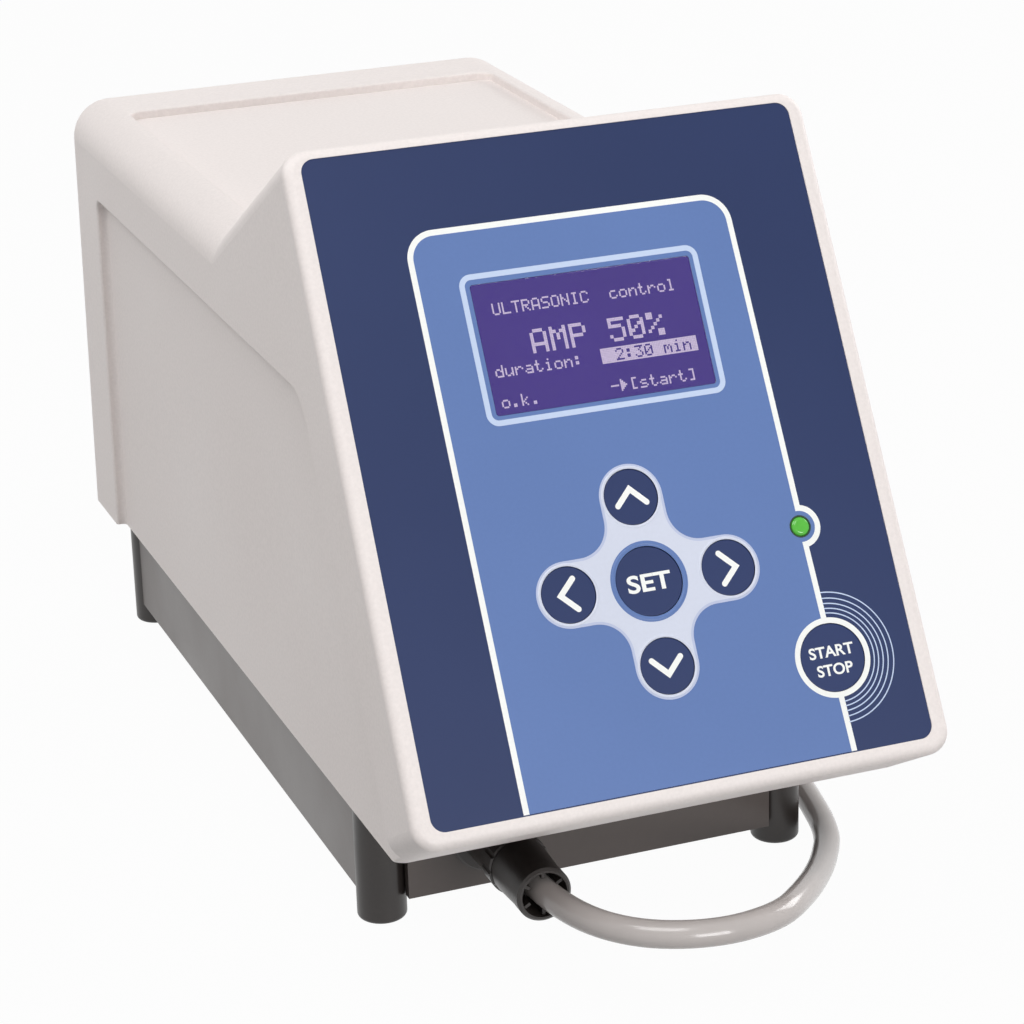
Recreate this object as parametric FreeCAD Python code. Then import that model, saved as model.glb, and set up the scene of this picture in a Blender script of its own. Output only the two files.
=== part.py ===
import FreeCAD
import Part
import math
import os

V = FreeCAD.Vector
X_AXIS = V(1, 0, 0)
Y_AXIS = V(0, 1, 0)
Z_AXIS = V(0, 0, 1)

# Generator of an ultrasonic homogenizer: a moulded desk housing with a sloping console,
# a sheet-metal chassis tray on four feet, and a plugged-in lead. Millimetres, +X right,
# +Y back, +Z up. The model is drawn with y = 0 at the lower edge of the console face and is
# moved at the end so that the origin lies under the middle of the standing body.

# Console face
PANEL_WIDTH = 160.0
PANEL_TOP_WIDTH = 157.5
PANEL_HEIGHT = 200.3
PANEL_TILT = 30.2
PANEL_LOW_EDGE = 69.5
PANEL_CORNER = 4.3
FRAME_SIDE = 5.8
FRAME_TOP = 3.4
FRAME_BOTTOM = 5.0
FRAME_PROUD = 0.3
FRAME_ROUND = 3.2
CONSOLE_CORNER = 7.5
CONSOLE_REACH = 130.0
OVERLAY_THICK = 0.8

# Moulded housing
WALL = 3.0
DRAFT = 0.01
RIM_Z = 47.7
TOP_Z = 204.2
HOUSING_BACK = 376.0
REAR_BLOCK_FRONT = 130.0
SHOULDER_ROUND = 14.0
BACK_TOP_ROUND = 10.0
BACK_CORNER_ROUND = 10.0
TRAY_WIDTH = 139.8
TRAY_DEPTH = 3.0
TRAY_BACK_RIM = 34.0
TRAY_CORNER = 5.0
TRAY_LIP_ROUND = 0.7
SIDE_RECESS_DEPTH = 3.5
SIDE_RECESS_DROP = 30.4
SIDE_RECESS_BACK = 38.5
SIDE_RECESS_FRONT = 27.0
SIDE_RECESS_CORNER = 18.0
SIDE_RECESS_BACK_CORNER = 4.0
SIDE_RECESS_SOLE = 2.0
SIDE_RECESS_EDGE = 1.0

# Chassis tray and feet
CHASSIS_WIDTH = 149.5
CHASSIS_FRONT = 78.0
CHASSIS_BACK_GAP = 9.0
CHASSIS_BOTTOM = 8.1
SHEET = 1.5
FLANGE_Z = 50.0
FLANGE_GAP = 0.4
FOOT_RADIUS = 7.95
FOOT_X = 68.4
FOOT_FRONT = 86.9
FOOT_BACK_INSET = 10.3
FOOT_GAP = 0.3
FOOT_ROUND = 1.5
FOOT_NOTCH = 6.2
FOOT_SCREW = 5.0
FOOT_SCREW_HEAD = 8.5
FOOT_SCREW_HEAD_HIGH = 5.0
FOOT_SCREW_SINK = 8.0
FOOT_SCREW_BITE = 18.0
FOOT_BOSS_RADIUS = 7.0
FOOT_BOSS_HIGH = 26.0
FLANGE_SCREW_LONG = 9.0
FLANGE_SCREW_HEAD = 5.5
FLANGE_SCREW_HEAD_HIGH = 2.2
FLANGE_SCREW = 3.0
FLANGE_SCREW_X = 45.0
FLANGE_SCREW_Y = 54.0
FLANGE_BOSS_HIGH = 14.0
SCREW_PLAY = 0.1
HOLE_PLAY = 0.4

# Keys, x across and v up the console face
KEY_X = 0.8
KEY_V = 60.9
KEY_PITCH = 25.6
ARROW_RADIUS = 8.55
SET_RADIUS = 10.55
START_X = 53.1
START_V = 28.9
START_RADIUS = 10.45
KEY_PLAY = 0.12
KEY_THICK = 1.6
KEY_TRAVEL = 0.5
KEY_STEM_RADIUS = 3.0
KEY_COLLAR_RADIUS = 4.0
KEY_COLLAR_THICK = 0.8
SWITCH_SIDE = 6.0
SWITCH_HIGH = 2.3
SWITCH_REST_GAP = 0.75
KEY_BOARD_GAP = 4.6
BOARD_THICK = 1.6
KEY_BOARD_LOW = 12.0
KEY_BOARD_HIGH = 98.0
KEY_BOARD_LEFT = 44.0
KEY_BOARD_RIGHT = 70.0
LED_X = 52.1
LED_V = 69.4
LED_RADIUS = 2.9
LED_PROUD = 0.9

# Display
DISPLAY_X = 0.3
DISPLAY_V = 136.4
DISPLAY_WIDTH = 70.6
DISPLAY_HEIGHT = 40.0
DISPLAY_CORNER = 1.0
GLASS_MARGIN = 1.8
GLASS_SET_BACK = 0.2
BEZEL_WIDTH = 88.0
BEZEL_HEIGHT = 51.0
BEZEL_THICK = 3.0
MODULE_WIDTH = 93.0
MODULE_HEIGHT = 70.0
MODULE_HOLE_INSET = 3.5
SMALL_SCREW = 2.5
BOARD_BOSS_RADIUS = 3.4

# Back panel and what it carries
BACK_PANEL_WIDTH = 132.0
BACK_PANEL_LOW = 62.0
BACK_PANEL_HIGH = 186.0
BACK_PANEL_CORNER = 5.0
BACK_PANEL_LEDGE = 6.0
BACK_PANEL_PLAY = 0.2
BACK_SCREW_INSET = 3.6
VENT_ROWS = 9
VENT_PITCH = 6.4
VENT_HIGH = 3.0
VENT_LONG = 46.0
VENT_MIDDLE_BAR = 8.0
VENT_LOW_Z = 124.0
SOCKET_ROW_Z = 92.0
INLET_X = 34.0
INLET_FLANGE_W = 46.0
INLET_FLANGE_H = 46.0
INLET_BODY_W = 30.0
INLET_BODY_H = 40.0
INLET_BODY_DEEP = 26.0
INLET_FLANGE_T = 2.5
INLET_HOLE_W = 24.5
INLET_HOLE_H = 17.0
INLET_HOLE_DEEP = 16.0
INLET_HOLE_DROP = 9.0
INLET_PIN_LONG = 12.0
DRAWER_W = 22.0
DRAWER_H = 9.0
DRAWER_LONG = 23.0
DRAWER_RISE = 10.0
DRAWER_PLAY = 0.2
DRAWER_LIP = 2.0
FUSE_RADIUS = 2.5
FUSE_LONG = 20.0
SWITCH_X = -12.0
SWITCH_FRAME_W = 20.0
SWITCH_FRAME_H = 30.0
SWITCH_FRAME_T = 2.0
SWITCH_BODY_DEEP = 20.0
ROCKER_RADIUS = 10.0
ROCKER_WIDE = 12.0
ROCKER_PLAY = 0.3
ROCKER_SET_BACK = 5.0
ROCKER_SWING = 16.0
ROCKER_PIN = 1.6
ROCKER_PIN_PLAY = 0.08
JACK_X = -46.0
JACK_BORE = 6.4
JACK_BARREL = 10.0
JACK_NUT = 14.0
JACK_BODY = 14.0
JACK_DEEP = 22.0

# Lead socket and plug, axis along Y
PLUG_X = -35.0
PLUG_Z = 26.5
SOCKET_FLANGE_RADIUS = 13.0
SOCKET_FLANGE_T = 2.5
SOCKET_BARREL_RADIUS = 8.4
SOCKET_BORE_RADIUS = 6.9
SOCKET_BARREL_LONG = 12.0
SOCKET_NUT_ACROSS = 24.0
SOCKET_NUT_T = 4.0
PLUG_PLAY = 0.1
PLUG_NOSE_LONG = 9.0
COUPLING_RADIUS = 9.4
COUPLING_LONG = 24.0
COUPLING_COLLAR = 9.9
PLUG_BODY_RADIUS = 8.0
PLUG_END_RADIUS = 8.8
PLUG_END_BORE = 7.3
BELL_PLAY = 0.15
PLUG_END_DEEP = 10.0
PLUG_LONG = 48.0
CABLE_RADIUS = 4.3

# Inside the chassis
STANDOFF_HIGH = 8.0
STANDOFF_RADIUS = 3.2
MAIN_BOARD_WIDTH = 126.0
MAIN_BOARD_FRONT = 104.0
MAIN_BOARD_BACK_GAP = 31.0
BOARD_HOLE_INSET = 5.0
SINK_CAN_GAP = 27.5
SINK_HIGH = 62.0
SINK_BASE = 5.0
SINK_FIN = 1.8
SINK_FIN_DEEP = 22.0
SINK_FINS = 12
SINK_INSET = 5.0
SINK_FRONT = 130.0
TRANSISTOR_COUNT = 4
TRANSISTOR_WIDTH = 16.0
TRANSISTOR_THICK = 5.0
TRANSISTOR_HIGH = 21.0
TRANSISTOR_RISE = 14.0
TRANSISTOR_LEG_PITCH = 5.4
TRANSISTOR_LEG_WIDTH = 1.4
TRANSISTOR_LEG_THICK = 1.0
CORE_WIDTH = 55.0
CORE_DEEP = 24.0
CORE_HIGH = 56.0
CORE_LEG = 9.5
CORE_X = 22.0
CORE_Y = 170.0
CHOKE_RADIUS = 19.0
CHOKE_THICK = 8.0
CHOKE_X = 26.0
CHOKE_BEHIND_MIDDLE = 4.0
CAN_RADIUS = 12.5
CAN_HIGH = 36.0
CAN_COUNT = 4
CAN_PITCH = 29.0
CAN_BACK_INSET = 34.0

# Flat cable between the two boards, with its slack as steps from either end
RIBBON_X = 10.0
RIBBON_WIDTH = 26.0
RIBBON_THICK = 1.0
RIBBON_ABOVE = 14.0
RIBBON_INSET = 8.0
RIBBON_SOCKET_LONG = 32.0
RIBBON_SOCKET_WIDE = 7.0
KEY_SOCKET_HIGH = 6.0
BOARD_SOCKET_HIGH = 8.0
RIBBON_FROM_KEYS = [(18.0, -6.0), (46.0, -12.0)]
RIBBON_TO_BOARD = [(-8.0, -20.0), (0.0, -32.0)]

# Lead route, in the drawing's own axes; the floor is z = 0
CABLE_ROUTE = [
    (-35.1, 41.0, 26.5),
    (-32.3, 17.9, 25.5),
    (-17.5, 0.1, 24.0),
    (4.6, -7.1, 23.1),
    (27.9, -1.0, 22.0),
    (45.2, 17.5, 16.9),
    (55.6, 35.7, 9.2),
    (70.1, 52.4, 5.0),
    (81.2, 71.8, 4.5),
    (86.4, 97.4, 4.5),
    (92.0, 130.0, 4.5),
    (92.8, 176.0, 4.5),
    (95.0, 226.0, 4.5),
    (94.0, 276.0, 4.5),
    (95.5, 322.0, 4.5),
    (94.5, 362.0, 4.5),
    (88.5, 396.0, 4.5),
    (87.0, 424.0, 4.5),
]

# Rest of the lead, wound up behind the housing, and its far end
COIL_X = 40.0
COIL_Y = 452.0
COIL_MID = 47.0
COIL_TURNS_WIDE = 3
COIL_LAYERS = 2
CABLE_END_ROUTE = [
    (95.6, 464.0, 13.2),
    (96.2, 480.0, 11.8),
    (98.4, 496.0, 9.0),
    (101.4, 511.0, 9.0),
]
END_RADIUS = 8.8
END_LONG = 34.0
END_NOSE_RADIUS = 6.5
END_NOSE_LONG = 11.0

# Numbers that follow from the driving sizes
TILT = math.radians(PANEL_TILT)
SIN = math.sin(TILT)
COS = math.cos(TILT)
FACE_BACK = OVERLAY_THICK + WALL
SIDE_RECESS_TOP = TOP_Z - SIDE_RECESS_DROP
CHASSIS_BACK = HOUSING_BACK - CHASSIS_BACK_GAP
FOOT_BACK = CHASSIS_BACK - FOOT_BACK_INSET
MAIN_BOARD_BACK = CHASSIS_BACK - MAIN_BOARD_BACK_GAP
SINK_X = -MAIN_BOARD_WIDTH / 2 + SINK_INSET
CAN_Y = MAIN_BOARD_BACK - CAN_BACK_INSET
SINK_LONG = CAN_Y - CAN_RADIUS - SINK_CAN_GAP - SINK_FRONT
CHOKE_Y = (CORE_Y + CAN_Y) / 2 + CHOKE_BEHIND_MIDDLE
FLOOR_TOP = CHASSIS_BOTTOM + SHEET
FLANGE_TOP = FLANGE_Z + SHEET
BACK_MID_Z = (BACK_PANEL_LOW + BACK_PANEL_HIGH) / 2
BOARD_Z = FLOOR_TOP + STANDOFF_HIGH
BOARD_TOP = BOARD_Z + BOARD_THICK
KEY_BOARD_H = -FACE_BACK - KEY_BOARD_GAP
FAR = 400.0


def half_width(z):
    """Half width of the housing at height z: the drafted sides lean in going up."""
    return PANEL_WIDTH / 2 + FRAME_SIDE - DRAFT * (z - PANEL_LOW_EDGE)


def back_at(z):
    """Place of the drafted back face at height z."""
    return HOUSING_BACK - DRAFT * (z - RIM_Z)


BACK_PANEL_Y = back_at(BACK_MID_Z)


def box(x0, x1, y0, y1, z0, z1):
    """Block between two corners."""
    return Part.makeBox(x1 - x0, y1 - y0, z1 - z0, V(x0, y0, z0))


def rod(start, axis, radius, length):
    """Round bar from a start point along an axis."""
    return Part.makeCylinder(radius, length, start, axis)


def fused(shapes):
    """One shape from several that touch or overlap."""
    result = shapes[0].multiFuse(shapes[1:]) if len(shapes) > 1 else shapes[0]
    return result.removeSplitter()


def group(shapes):
    """Separate solids kept together."""
    return Part.makeCompound(shapes)


def prism_x(outline, x0, x1):
    """Side-view outline of (y, z) points drawn out along X."""
    wire = Part.makePolygon([V(x0, y, z) for y, z in outline + outline[:1]])
    return Part.Face(wire).extrude(V(x1 - x0, 0, 0))


def rounded_plate(width, height, corner, thick):
    """Rounded rectangle centred on the origin, from z = 0 down to -thick."""
    plate = box(-width / 2, width / 2, -height / 2, height / 2, -thick, 0)
    edges = [e for e in plate.Edges if abs(e.Vertexes[0].Z - e.Vertexes[-1].Z) > thick / 2]
    return plate.makeFillet(corner, edges)


def on_face(shape, x=0.0, v=0.0, h=0.0):
    """Places a shape drawn flat (x across, y up the face, z out of it) on the console face."""
    placed = shape.copy()
    placed.translate(V(x, v, h))
    placed.rotate(V(0, 0, 0), X_AXIS, 90 - PANEL_TILT)
    placed.translate(V(0, 0, PANEL_LOW_EDGE))
    return placed


def face_point(v, h):
    """Side-view point (y, z) that lies v up the console face and h out of it."""
    return (SIN * v - COS * h, PANEL_LOW_EDGE + COS * v + SIN * h)


def ring(radius, bore, thick):
    """Flat ring centred on the origin, from z = 0 down to -thick."""
    outer = rod(V(0, 0, -thick), Z_AXIS, radius, thick)
    return outer.cut(rod(V(0, 0, -thick - 1), Z_AXIS, bore, thick + 2))


def revolved(profile, start, axis):
    """Solid of revolution from (distance along the axis, radius) points."""
    wire = Part.makePolygon([V(r, 0, d) for d, r in profile + profile[:1]])
    solid = Part.Face(wire).revolve(V(0, 0, 0), Z_AXIS, 360)
    solid = Part.makeSolid(solid) if solid.ShapeType != "Solid" else solid
    turn = FreeCAD.Rotation(Z_AXIS, axis)
    solid.Placement = FreeCAD.Placement(start, turn).multiply(solid.Placement)
    return solid


def hex_bar(start, axis, across, length):
    """Six-sided bar, across flats, from a start point along an axis."""
    reach = across / math.sqrt(3)
    corners = [V(reach * math.cos(math.pi * i / 3), reach * math.sin(math.pi * i / 3), 0) for i in range(7)]
    bar = Part.Face(Part.makePolygon(corners)).extrude(V(0, 0, length))
    bar.Placement = FreeCAD.Placement(start, FreeCAD.Rotation(Z_AXIS, axis))
    return bar


def screw(seat, into, shank, length, head, head_high):
    """Socket-head screw whose head seats at a point and whose shank runs into the work."""
    back = V(-into.x, -into.y, -into.z)
    body = rod(seat, into, shank / 2, length)
    cap = rod(seat, back, head / 2, head_high)
    top = seat + back * head_high
    socket = hex_bar(top, into, shank * 0.8, head_high * 0.55)
    return fused([body, cap]).cut(socket)


def edges_where(shape, test):
    """Edges whose middle point and direction pass a test."""
    found = []
    for edge in shape.Edges:
        middle = edge.valueAt((edge.FirstParameter + edge.LastParameter) / 2)
        along = edge.tangentAt((edge.FirstParameter + edge.LastParameter) / 2)
        if test(middle, along):
            found.append(edge)
    return found


def drafted_block(inset, y_front, z_low, z_high):
    """Block with the housing's drafted sides and back, drawn in by an inset."""
    low = back_at(z_low) - inset
    high = back_at(z_high) - inset
    along = prism_x([(y_front, z_low), (low, z_low), (high, z_high), (y_front, z_high)], -FAR, FAR)
    foot_half = half_width(z_low) - inset
    top_half = half_width(z_high) - inset
    lower = [(-foot_half, z_low), (foot_half, z_low)]
    upper = [(top_half, z_high), (-top_half, z_high)]
    corners = lower + upper + [lower[0]]
    wire = Part.makePolygon([V(x, -2 * FAR, z) for x, z in corners])
    return along.common(Part.Face(wire).extrude(V(0, 4 * FAR, 0)))


def console_block(inset, face_inset, z_low):
    """Console box, square to its sloping face, with rounded long edges."""
    low = -FRAME_BOTTOM + inset
    high = PANEL_HEIGHT + FRAME_TOP - inset
    face = FRAME_PROUD - face_inset
    under = (z_low - PANEL_LOW_EDGE - COS * low) / SIN
    back_y = face_point(high, -CONSOLE_REACH)[0]
    outline = [
        face_point(low, face),
        face_point(high, face),
        face_point(high, -CONSOLE_REACH),
        (back_y, z_low),
        face_point(low, under),
    ]
    block = prism_x(outline, -FAR, FAR).common(drafted_block(inset, -FAR, z_low - 1, TOP_Z + FAR / 2))
    normal = V(0, -COS, SIN)
    long_edges = edges_where(block, lambda m, a: abs(a.dot(normal)) > 0.99 and abs(m.x) > 1)
    block = block.makeFillet(max(CONSOLE_CORNER - inset, 1.0), long_edges)
    if inset > 0:
        return block
    level = face_point(0, face)
    rim = edges_where(block, lambda m, a: abs((m - V(0, level[0], level[1])).dot(normal)) < 0.01)
    return block.makeFillet(FRAME_ROUND, rim)


def rear_block(inset, z_low):
    """Box behind the console with soft shoulders and corners."""
    block = drafted_block(inset, REAR_BLOCK_FRONT, z_low, TOP_Z - inset)
    top = TOP_Z - inset
    shoulders = edges_where(block, lambda m, a: abs(m.z - top) < 0.01 and abs(a.y) > 0.9)
    block = block.makeFillet(SHOULDER_ROUND - inset, shoulders)
    back_edges = edges_where(
        block, lambda m, a: m.y > back_at(m.z) - inset - 0.5 and abs(m.z - z_low) > 1 and abs(m.x) > 1
    )
    ridge = edges_where(block, lambda m, a: m.y > back_at(m.z) - inset - 0.5 and abs(m.z - top) < 0.01)
    return block.makeFillet(BACK_TOP_ROUND - inset, back_edges + ridge)


def tray_tool(grow):
    """Shape of the shallow tray in the top, grown by an amount for the roof under it."""
    depth = back_at(TOP_Z) - TRAY_BACK_RIM + grow - REAR_BLOCK_FRONT
    plate = rounded_plate(TRAY_WIDTH + 2 * grow, 2 * depth, TRAY_CORNER + grow, TRAY_DEPTH + 20)
    plate.translate(V(0, REAR_BLOCK_FRONT, TOP_Z - TRAY_DEPTH - grow + TRAY_DEPTH + 20))
    return plate


def recess_outline(grow):
    """Side view of the side recess: top, back and a front line parallel to the console face."""
    top = SIDE_RECESS_TOP + grow
    back = HOUSING_BACK - SIDE_RECESS_BACK + grow
    low = RIM_Z - 20
    depth = -SIDE_RECESS_FRONT + grow
    v_top = (top - PANEL_LOW_EDGE - SIN * depth) / COS
    v_low = (low - PANEL_LOW_EDGE - SIN * depth) / COS
    return [face_point(v_low, depth), face_point(v_top, depth), (back, top), (back, low)]


def recess_tool(grow, depth):
    """Pockets on both sides, parallel to the drafted sides."""
    pocket = prism_x(recess_outline(grow), -FAR, FAR)
    top = SIDE_RECESS_TOP + grow
    back = HOUSING_BACK - SIDE_RECESS_BACK + grow
    high = edges_where(pocket, lambda m, a: abs(a.x) > 0.99 and abs(m.z - top) < 0.01 and m.y < back - 1)
    pocket = pocket.makeFillet(SIDE_RECESS_CORNER + grow, high)
    rear = edges_where(pocket, lambda m, a: abs(a.x) > 0.99 and abs(m.z - top) < 0.01 and m.y > back - 1)
    pocket = pocket.makeFillet(SIDE_RECESS_BACK_CORNER + grow, rear)
    pocket = pocket.cut(drafted_block(depth, -FAR, RIM_Z - 40, TOP_Z + 100))
    sole = edges_where(
        pocket, lambda m, a: abs(abs(m.x) - half_width(m.z) + depth) < 0.05 and m.z > RIM_Z - 15
    )
    return pocket.makeFillet(SIDE_RECESS_SOLE + grow, sole)


def housing_form():
    """Outer form of the housing."""
    rear = rear_block(0.0, RIM_Z).cut(tray_tool(0.0))
    lip = edges_where(
        rear,
        lambda m, a: abs(m.z - TOP_Z) < 0.01
        and abs(m.x) < TRAY_WIDTH / 2 + 0.01
        and m.y > REAR_BLOCK_FRONT + 1
        and m.y < back_at(TOP_Z) - TRAY_BACK_RIM + 0.01,
    )
    rear = rear.makeFillet(TRAY_LIP_ROUND, lip)
    form = fused([rear, console_block(0.0, 0.0, RIM_Z)])
    form = form.cut(recess_tool(0.0, SIDE_RECESS_DEPTH))
    return form.makeFillet(SIDE_RECESS_EDGE, recess_rim(form))


def recess_rim(form):
    """Outer edges of the side recesses."""
    low = RIM_Z + 1.0
    depth = V(0, -COS, SIN)
    front = face_point(0, -SIDE_RECESS_FRONT)
    back = HOUSING_BACK - SIDE_RECESS_BACK

    def test(m, a):
        if abs(m.x) < half_width(m.z) - 0.05 or m.z < low:
            return False
        reach = (m - V(0, front[0], front[1])).dot(depth)
        inside = reach < 0.05 and m.y < back + 0.05 and m.z < SIDE_RECESS_TOP + 0.05
        on_line = reach > -SIDE_RECESS_CORNER or m.y > back - SIDE_RECESS_CORNER
        return inside and (on_line or m.z > SIDE_RECESS_TOP - SIDE_RECESS_CORNER)

    return edges_where(form, test)


def housing_cavity():
    """Room inside the housing, open at the bottom."""
    rear = rear_block(WALL, RIM_Z - 5).cut(tray_tool(WALL))
    front = console_block(WALL, FACE_BACK + FRAME_PROUD, RIM_Z - 5)
    room = rear.fuse(front)
    return room.cut(recess_tool(WALL, SIDE_RECESS_DEPTH + WALL))


def key_places():
    """Name, place and radius of each key."""
    return [
        ("key_set", KEY_X, KEY_V, SET_RADIUS),
        ("key_up", KEY_X, KEY_V + KEY_PITCH, ARROW_RADIUS),
        ("key_down", KEY_X, KEY_V - KEY_PITCH, ARROW_RADIUS),
        ("key_left", KEY_X - KEY_PITCH, KEY_V, ARROW_RADIUS),
        ("key_right", KEY_X + KEY_PITCH, KEY_V, ARROW_RADIUS),
        ("key_start_stop", START_X, START_V, START_RADIUS),
    ]


def key_board_holes():
    """Fixing places of the keypad board."""
    left = KEY_X - KEY_BOARD_LEFT + 5
    right = KEY_X + KEY_BOARD_RIGHT - 5
    low = KEY_BOARD_LOW + 4
    high = KEY_BOARD_HIGH - 4
    return [(left, low), (right - 40, low), (left, high), (right, high)]


def module_holes():
    """Fixing places of the display module."""
    dx = MODULE_WIDTH / 2 - MODULE_HOLE_INSET
    dv = MODULE_HEIGHT / 2 - MODULE_HOLE_INSET
    return [(DISPLAY_X + i * dx, DISPLAY_V + j * dv) for i in (-1, 1) for j in (-1, 1)]


def face_cuts():
    """What is taken out of the front wall: overlay seat, key wells, display and lamp holes."""
    cuts = [on_face(overlay_outline(0.0), h=FRAME_PROUD + 1)]
    for name, x, v, radius in key_places():
        well = rod(V(x, v, -OVERLAY_THICK - KEY_THICK + 0.2), Z_AXIS, radius, 4)
        bore = rod(V(x, v, -FACE_BACK - 1), Z_AXIS, KEY_STEM_RADIUS + KEY_PLAY, 6)
        cuts.append(on_face(well))
        cuts.append(on_face(bore))
    wide = DISPLAY_WIDTH + 2 * GLASS_MARGIN + 0.4
    high = DISPLAY_HEIGHT + 2 * GLASS_MARGIN + 0.4
    cuts.append(on_face(rounded_plate(wide, high, DISPLAY_CORNER, 8), DISPLAY_X, DISPLAY_V, 2))
    cuts.append(on_face(rod(V(LED_X, LED_V, -8), Z_AXIS, LED_RADIUS + 0.1, 10)))
    return cuts


def overlay_outline(extra):
    """Tapered keypad outline with round corners, thick enough to cut or trim with."""
    low = PANEL_WIDTH / 2 + extra
    high = PANEL_TOP_WIDTH / 2 + extra
    thick = OVERLAY_THICK + FRAME_PROUD + 1
    top = PANEL_HEIGHT
    corners = [V(-low, 0, 0), V(low, 0, 0), V(high, top, 0), V(-high, top, 0), V(-low, 0, 0)]
    sheet = Part.Face(Part.makePolygon(corners)).extrude(V(0, 0, -thick))
    uprights = edges_where(sheet, lambda m, a: abs(a.z) > 0.99)
    return sheet.makeFillet(PANEL_CORNER, uprights)


def foot_places():
    """Centres of the four feet."""
    return [(x, y) for x in (-FOOT_X, FOOT_X) for y in (FOOT_FRONT, FOOT_BACK)]


def face_bosses():
    """Round bosses on the inside of the front wall for the keypad board and the display."""
    bosses = []
    for x, v in key_board_holes():
        boss = ring(BOARD_BOSS_RADIUS, (SMALL_SCREW + SCREW_PLAY) / 2, KEY_BOARD_GAP)
        bosses.append(on_face(boss, x, v, -FACE_BACK))
    for x, v in module_holes():
        boss = ring(BOARD_BOSS_RADIUS, (SMALL_SCREW + SCREW_PLAY) / 2, BEZEL_THICK)
        bosses.append(on_face(boss, x, v, -FACE_BACK))
    return bosses


def screw_boss(x, y, radius, high, shank, rib_to):
    """Downward boss with a rib that ties it to the nearest wall."""
    xs = sorted((x, rib_to[0]))
    ys = sorted((y, rib_to[1]))
    rib = box(xs[0], xs[1], ys[0], ys[1], FLANGE_TOP, FLANGE_TOP + high)
    boss = fused([rod(V(x, y, FLANGE_TOP), Z_AXIS, radius, high), rib])
    return boss.cut(rod(V(x, y, FLANGE_TOP - 1), Z_AXIS, (shank + SCREW_PLAY) / 2, high - 2))


def housing_bosses(form):
    """Bosses and ribs inside the housing, trimmed to its outer form."""
    bosses = []
    for x, y in foot_places():
        side = math.copysign(half_width(RIM_Z) - WALL / 2, x)
        rib = screw_boss(x, y, FOOT_BOSS_RADIUS, FOOT_BOSS_HIGH, FOOT_SCREW, (side, y + WALL))
        bosses.append(rib)
    for x in (-FLANGE_SCREW_X, FLANGE_SCREW_X):
        rib_to = (x + WALL, face_point(0, -WALL)[0])
        bosses.append(screw_boss(x, FLANGE_SCREW_Y, 4.5, FLANGE_BOSS_HIGH, FLANGE_SCREW, rib_to))
    return [b.common(form) for b in bosses]


def back_screw_places():
    """Fixing places of the back panel."""
    x = BACK_PANEL_WIDTH / 2 - BACK_SCREW_INSET
    rows = (BACK_PANEL_LOW + 8, BACK_MID_Z, BACK_PANEL_HIGH - 8)
    return [(side * x, z) for side in (-1, 1) for z in rows]


def back_plate(width, low, high, corner, front, thick):
    """Upright plate in the back wall, from y = front back by its thickness."""
    plate = rounded_plate(width, high - low, corner, thick)
    plate.rotate(V(0, 0, 0), X_AXIS, 90)
    plate.translate(V(0, front, (low + high) / 2))
    return plate


def housing_shell():
    """Moulded cover with console, tray, side recesses, bosses and the back window."""
    form = housing_form()
    shell = form.cut(housing_cavity())
    shell = shell.multiFuse(face_bosses() + housing_bosses(form))
    ledge = BACK_PANEL_LEDGE
    seat = BACK_PANEL_Y - SHEET
    for x, z in back_screw_places():
        boss = rod(V(x, seat - 7, z), Y_AXIS, 3.6, 7)
        shell = shell.fuse(boss)
    play = BACK_PANEL_PLAY
    low = BACK_PANEL_LOW
    high = BACK_PANEL_HIGH
    corner = BACK_PANEL_CORNER
    wide = BACK_PANEL_WIDTH
    rabbet = back_plate(wide + 2 * play, low - play, high + play, corner + play, seat, 20)
    window = back_plate(wide - 2 * ledge - 4, low + ledge, high - ledge, corner, seat - 12, 30)
    radius = (FLANGE_SCREW + SCREW_PLAY) / 2
    holes = [rod(V(x, seat - 6, z), Y_AXIS, radius, 8) for x, z in back_screw_places()]
    shell = shell.cut(fused([rabbet, window])).cut(group(holes + face_cuts()))
    return shell.removeSplitter()


def tray_column(inset, z_low, z_high):
    """Plan shape of the chassis tray, notched round the feet."""
    half = CHASSIS_WIDTH / 2 - inset
    block = box(-half, half, CHASSIS_FRONT + inset, CHASSIS_BACK - inset, z_low, z_high)
    high = z_high - z_low + 2
    for x, y in foot_places():
        side = math.copysign(1, x)
        end = -1 if y == FOOT_FRONT else 1
        notch = rod(V(x, y, z_low - 1), Z_AXIS, FOOT_RADIUS + FOOT_GAP + inset, high)
        x_in = x - side * (FOOT_NOTCH + inset)
        x_out = x + side * 40
        y_in = y - end * inset
        y_out = y + end * 40
        xs = sorted((x_in, x_out))
        ys = sorted((y_in, y_out))
        corner = box(xs[0], xs[1], ys[0], ys[1], z_low - 1, z_high + 1)
        block = block.cut(notch.fuse(corner))
    return block


def flange_front():
    """Front edge of the chassis flange, just behind the console's sloping underside."""
    low = -FRAME_BOTTOM + WALL
    under = (FLANGE_Z - PANEL_LOW_EDGE - COS * low) / SIN
    return face_point(low, under)[0] + FLANGE_GAP


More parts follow.
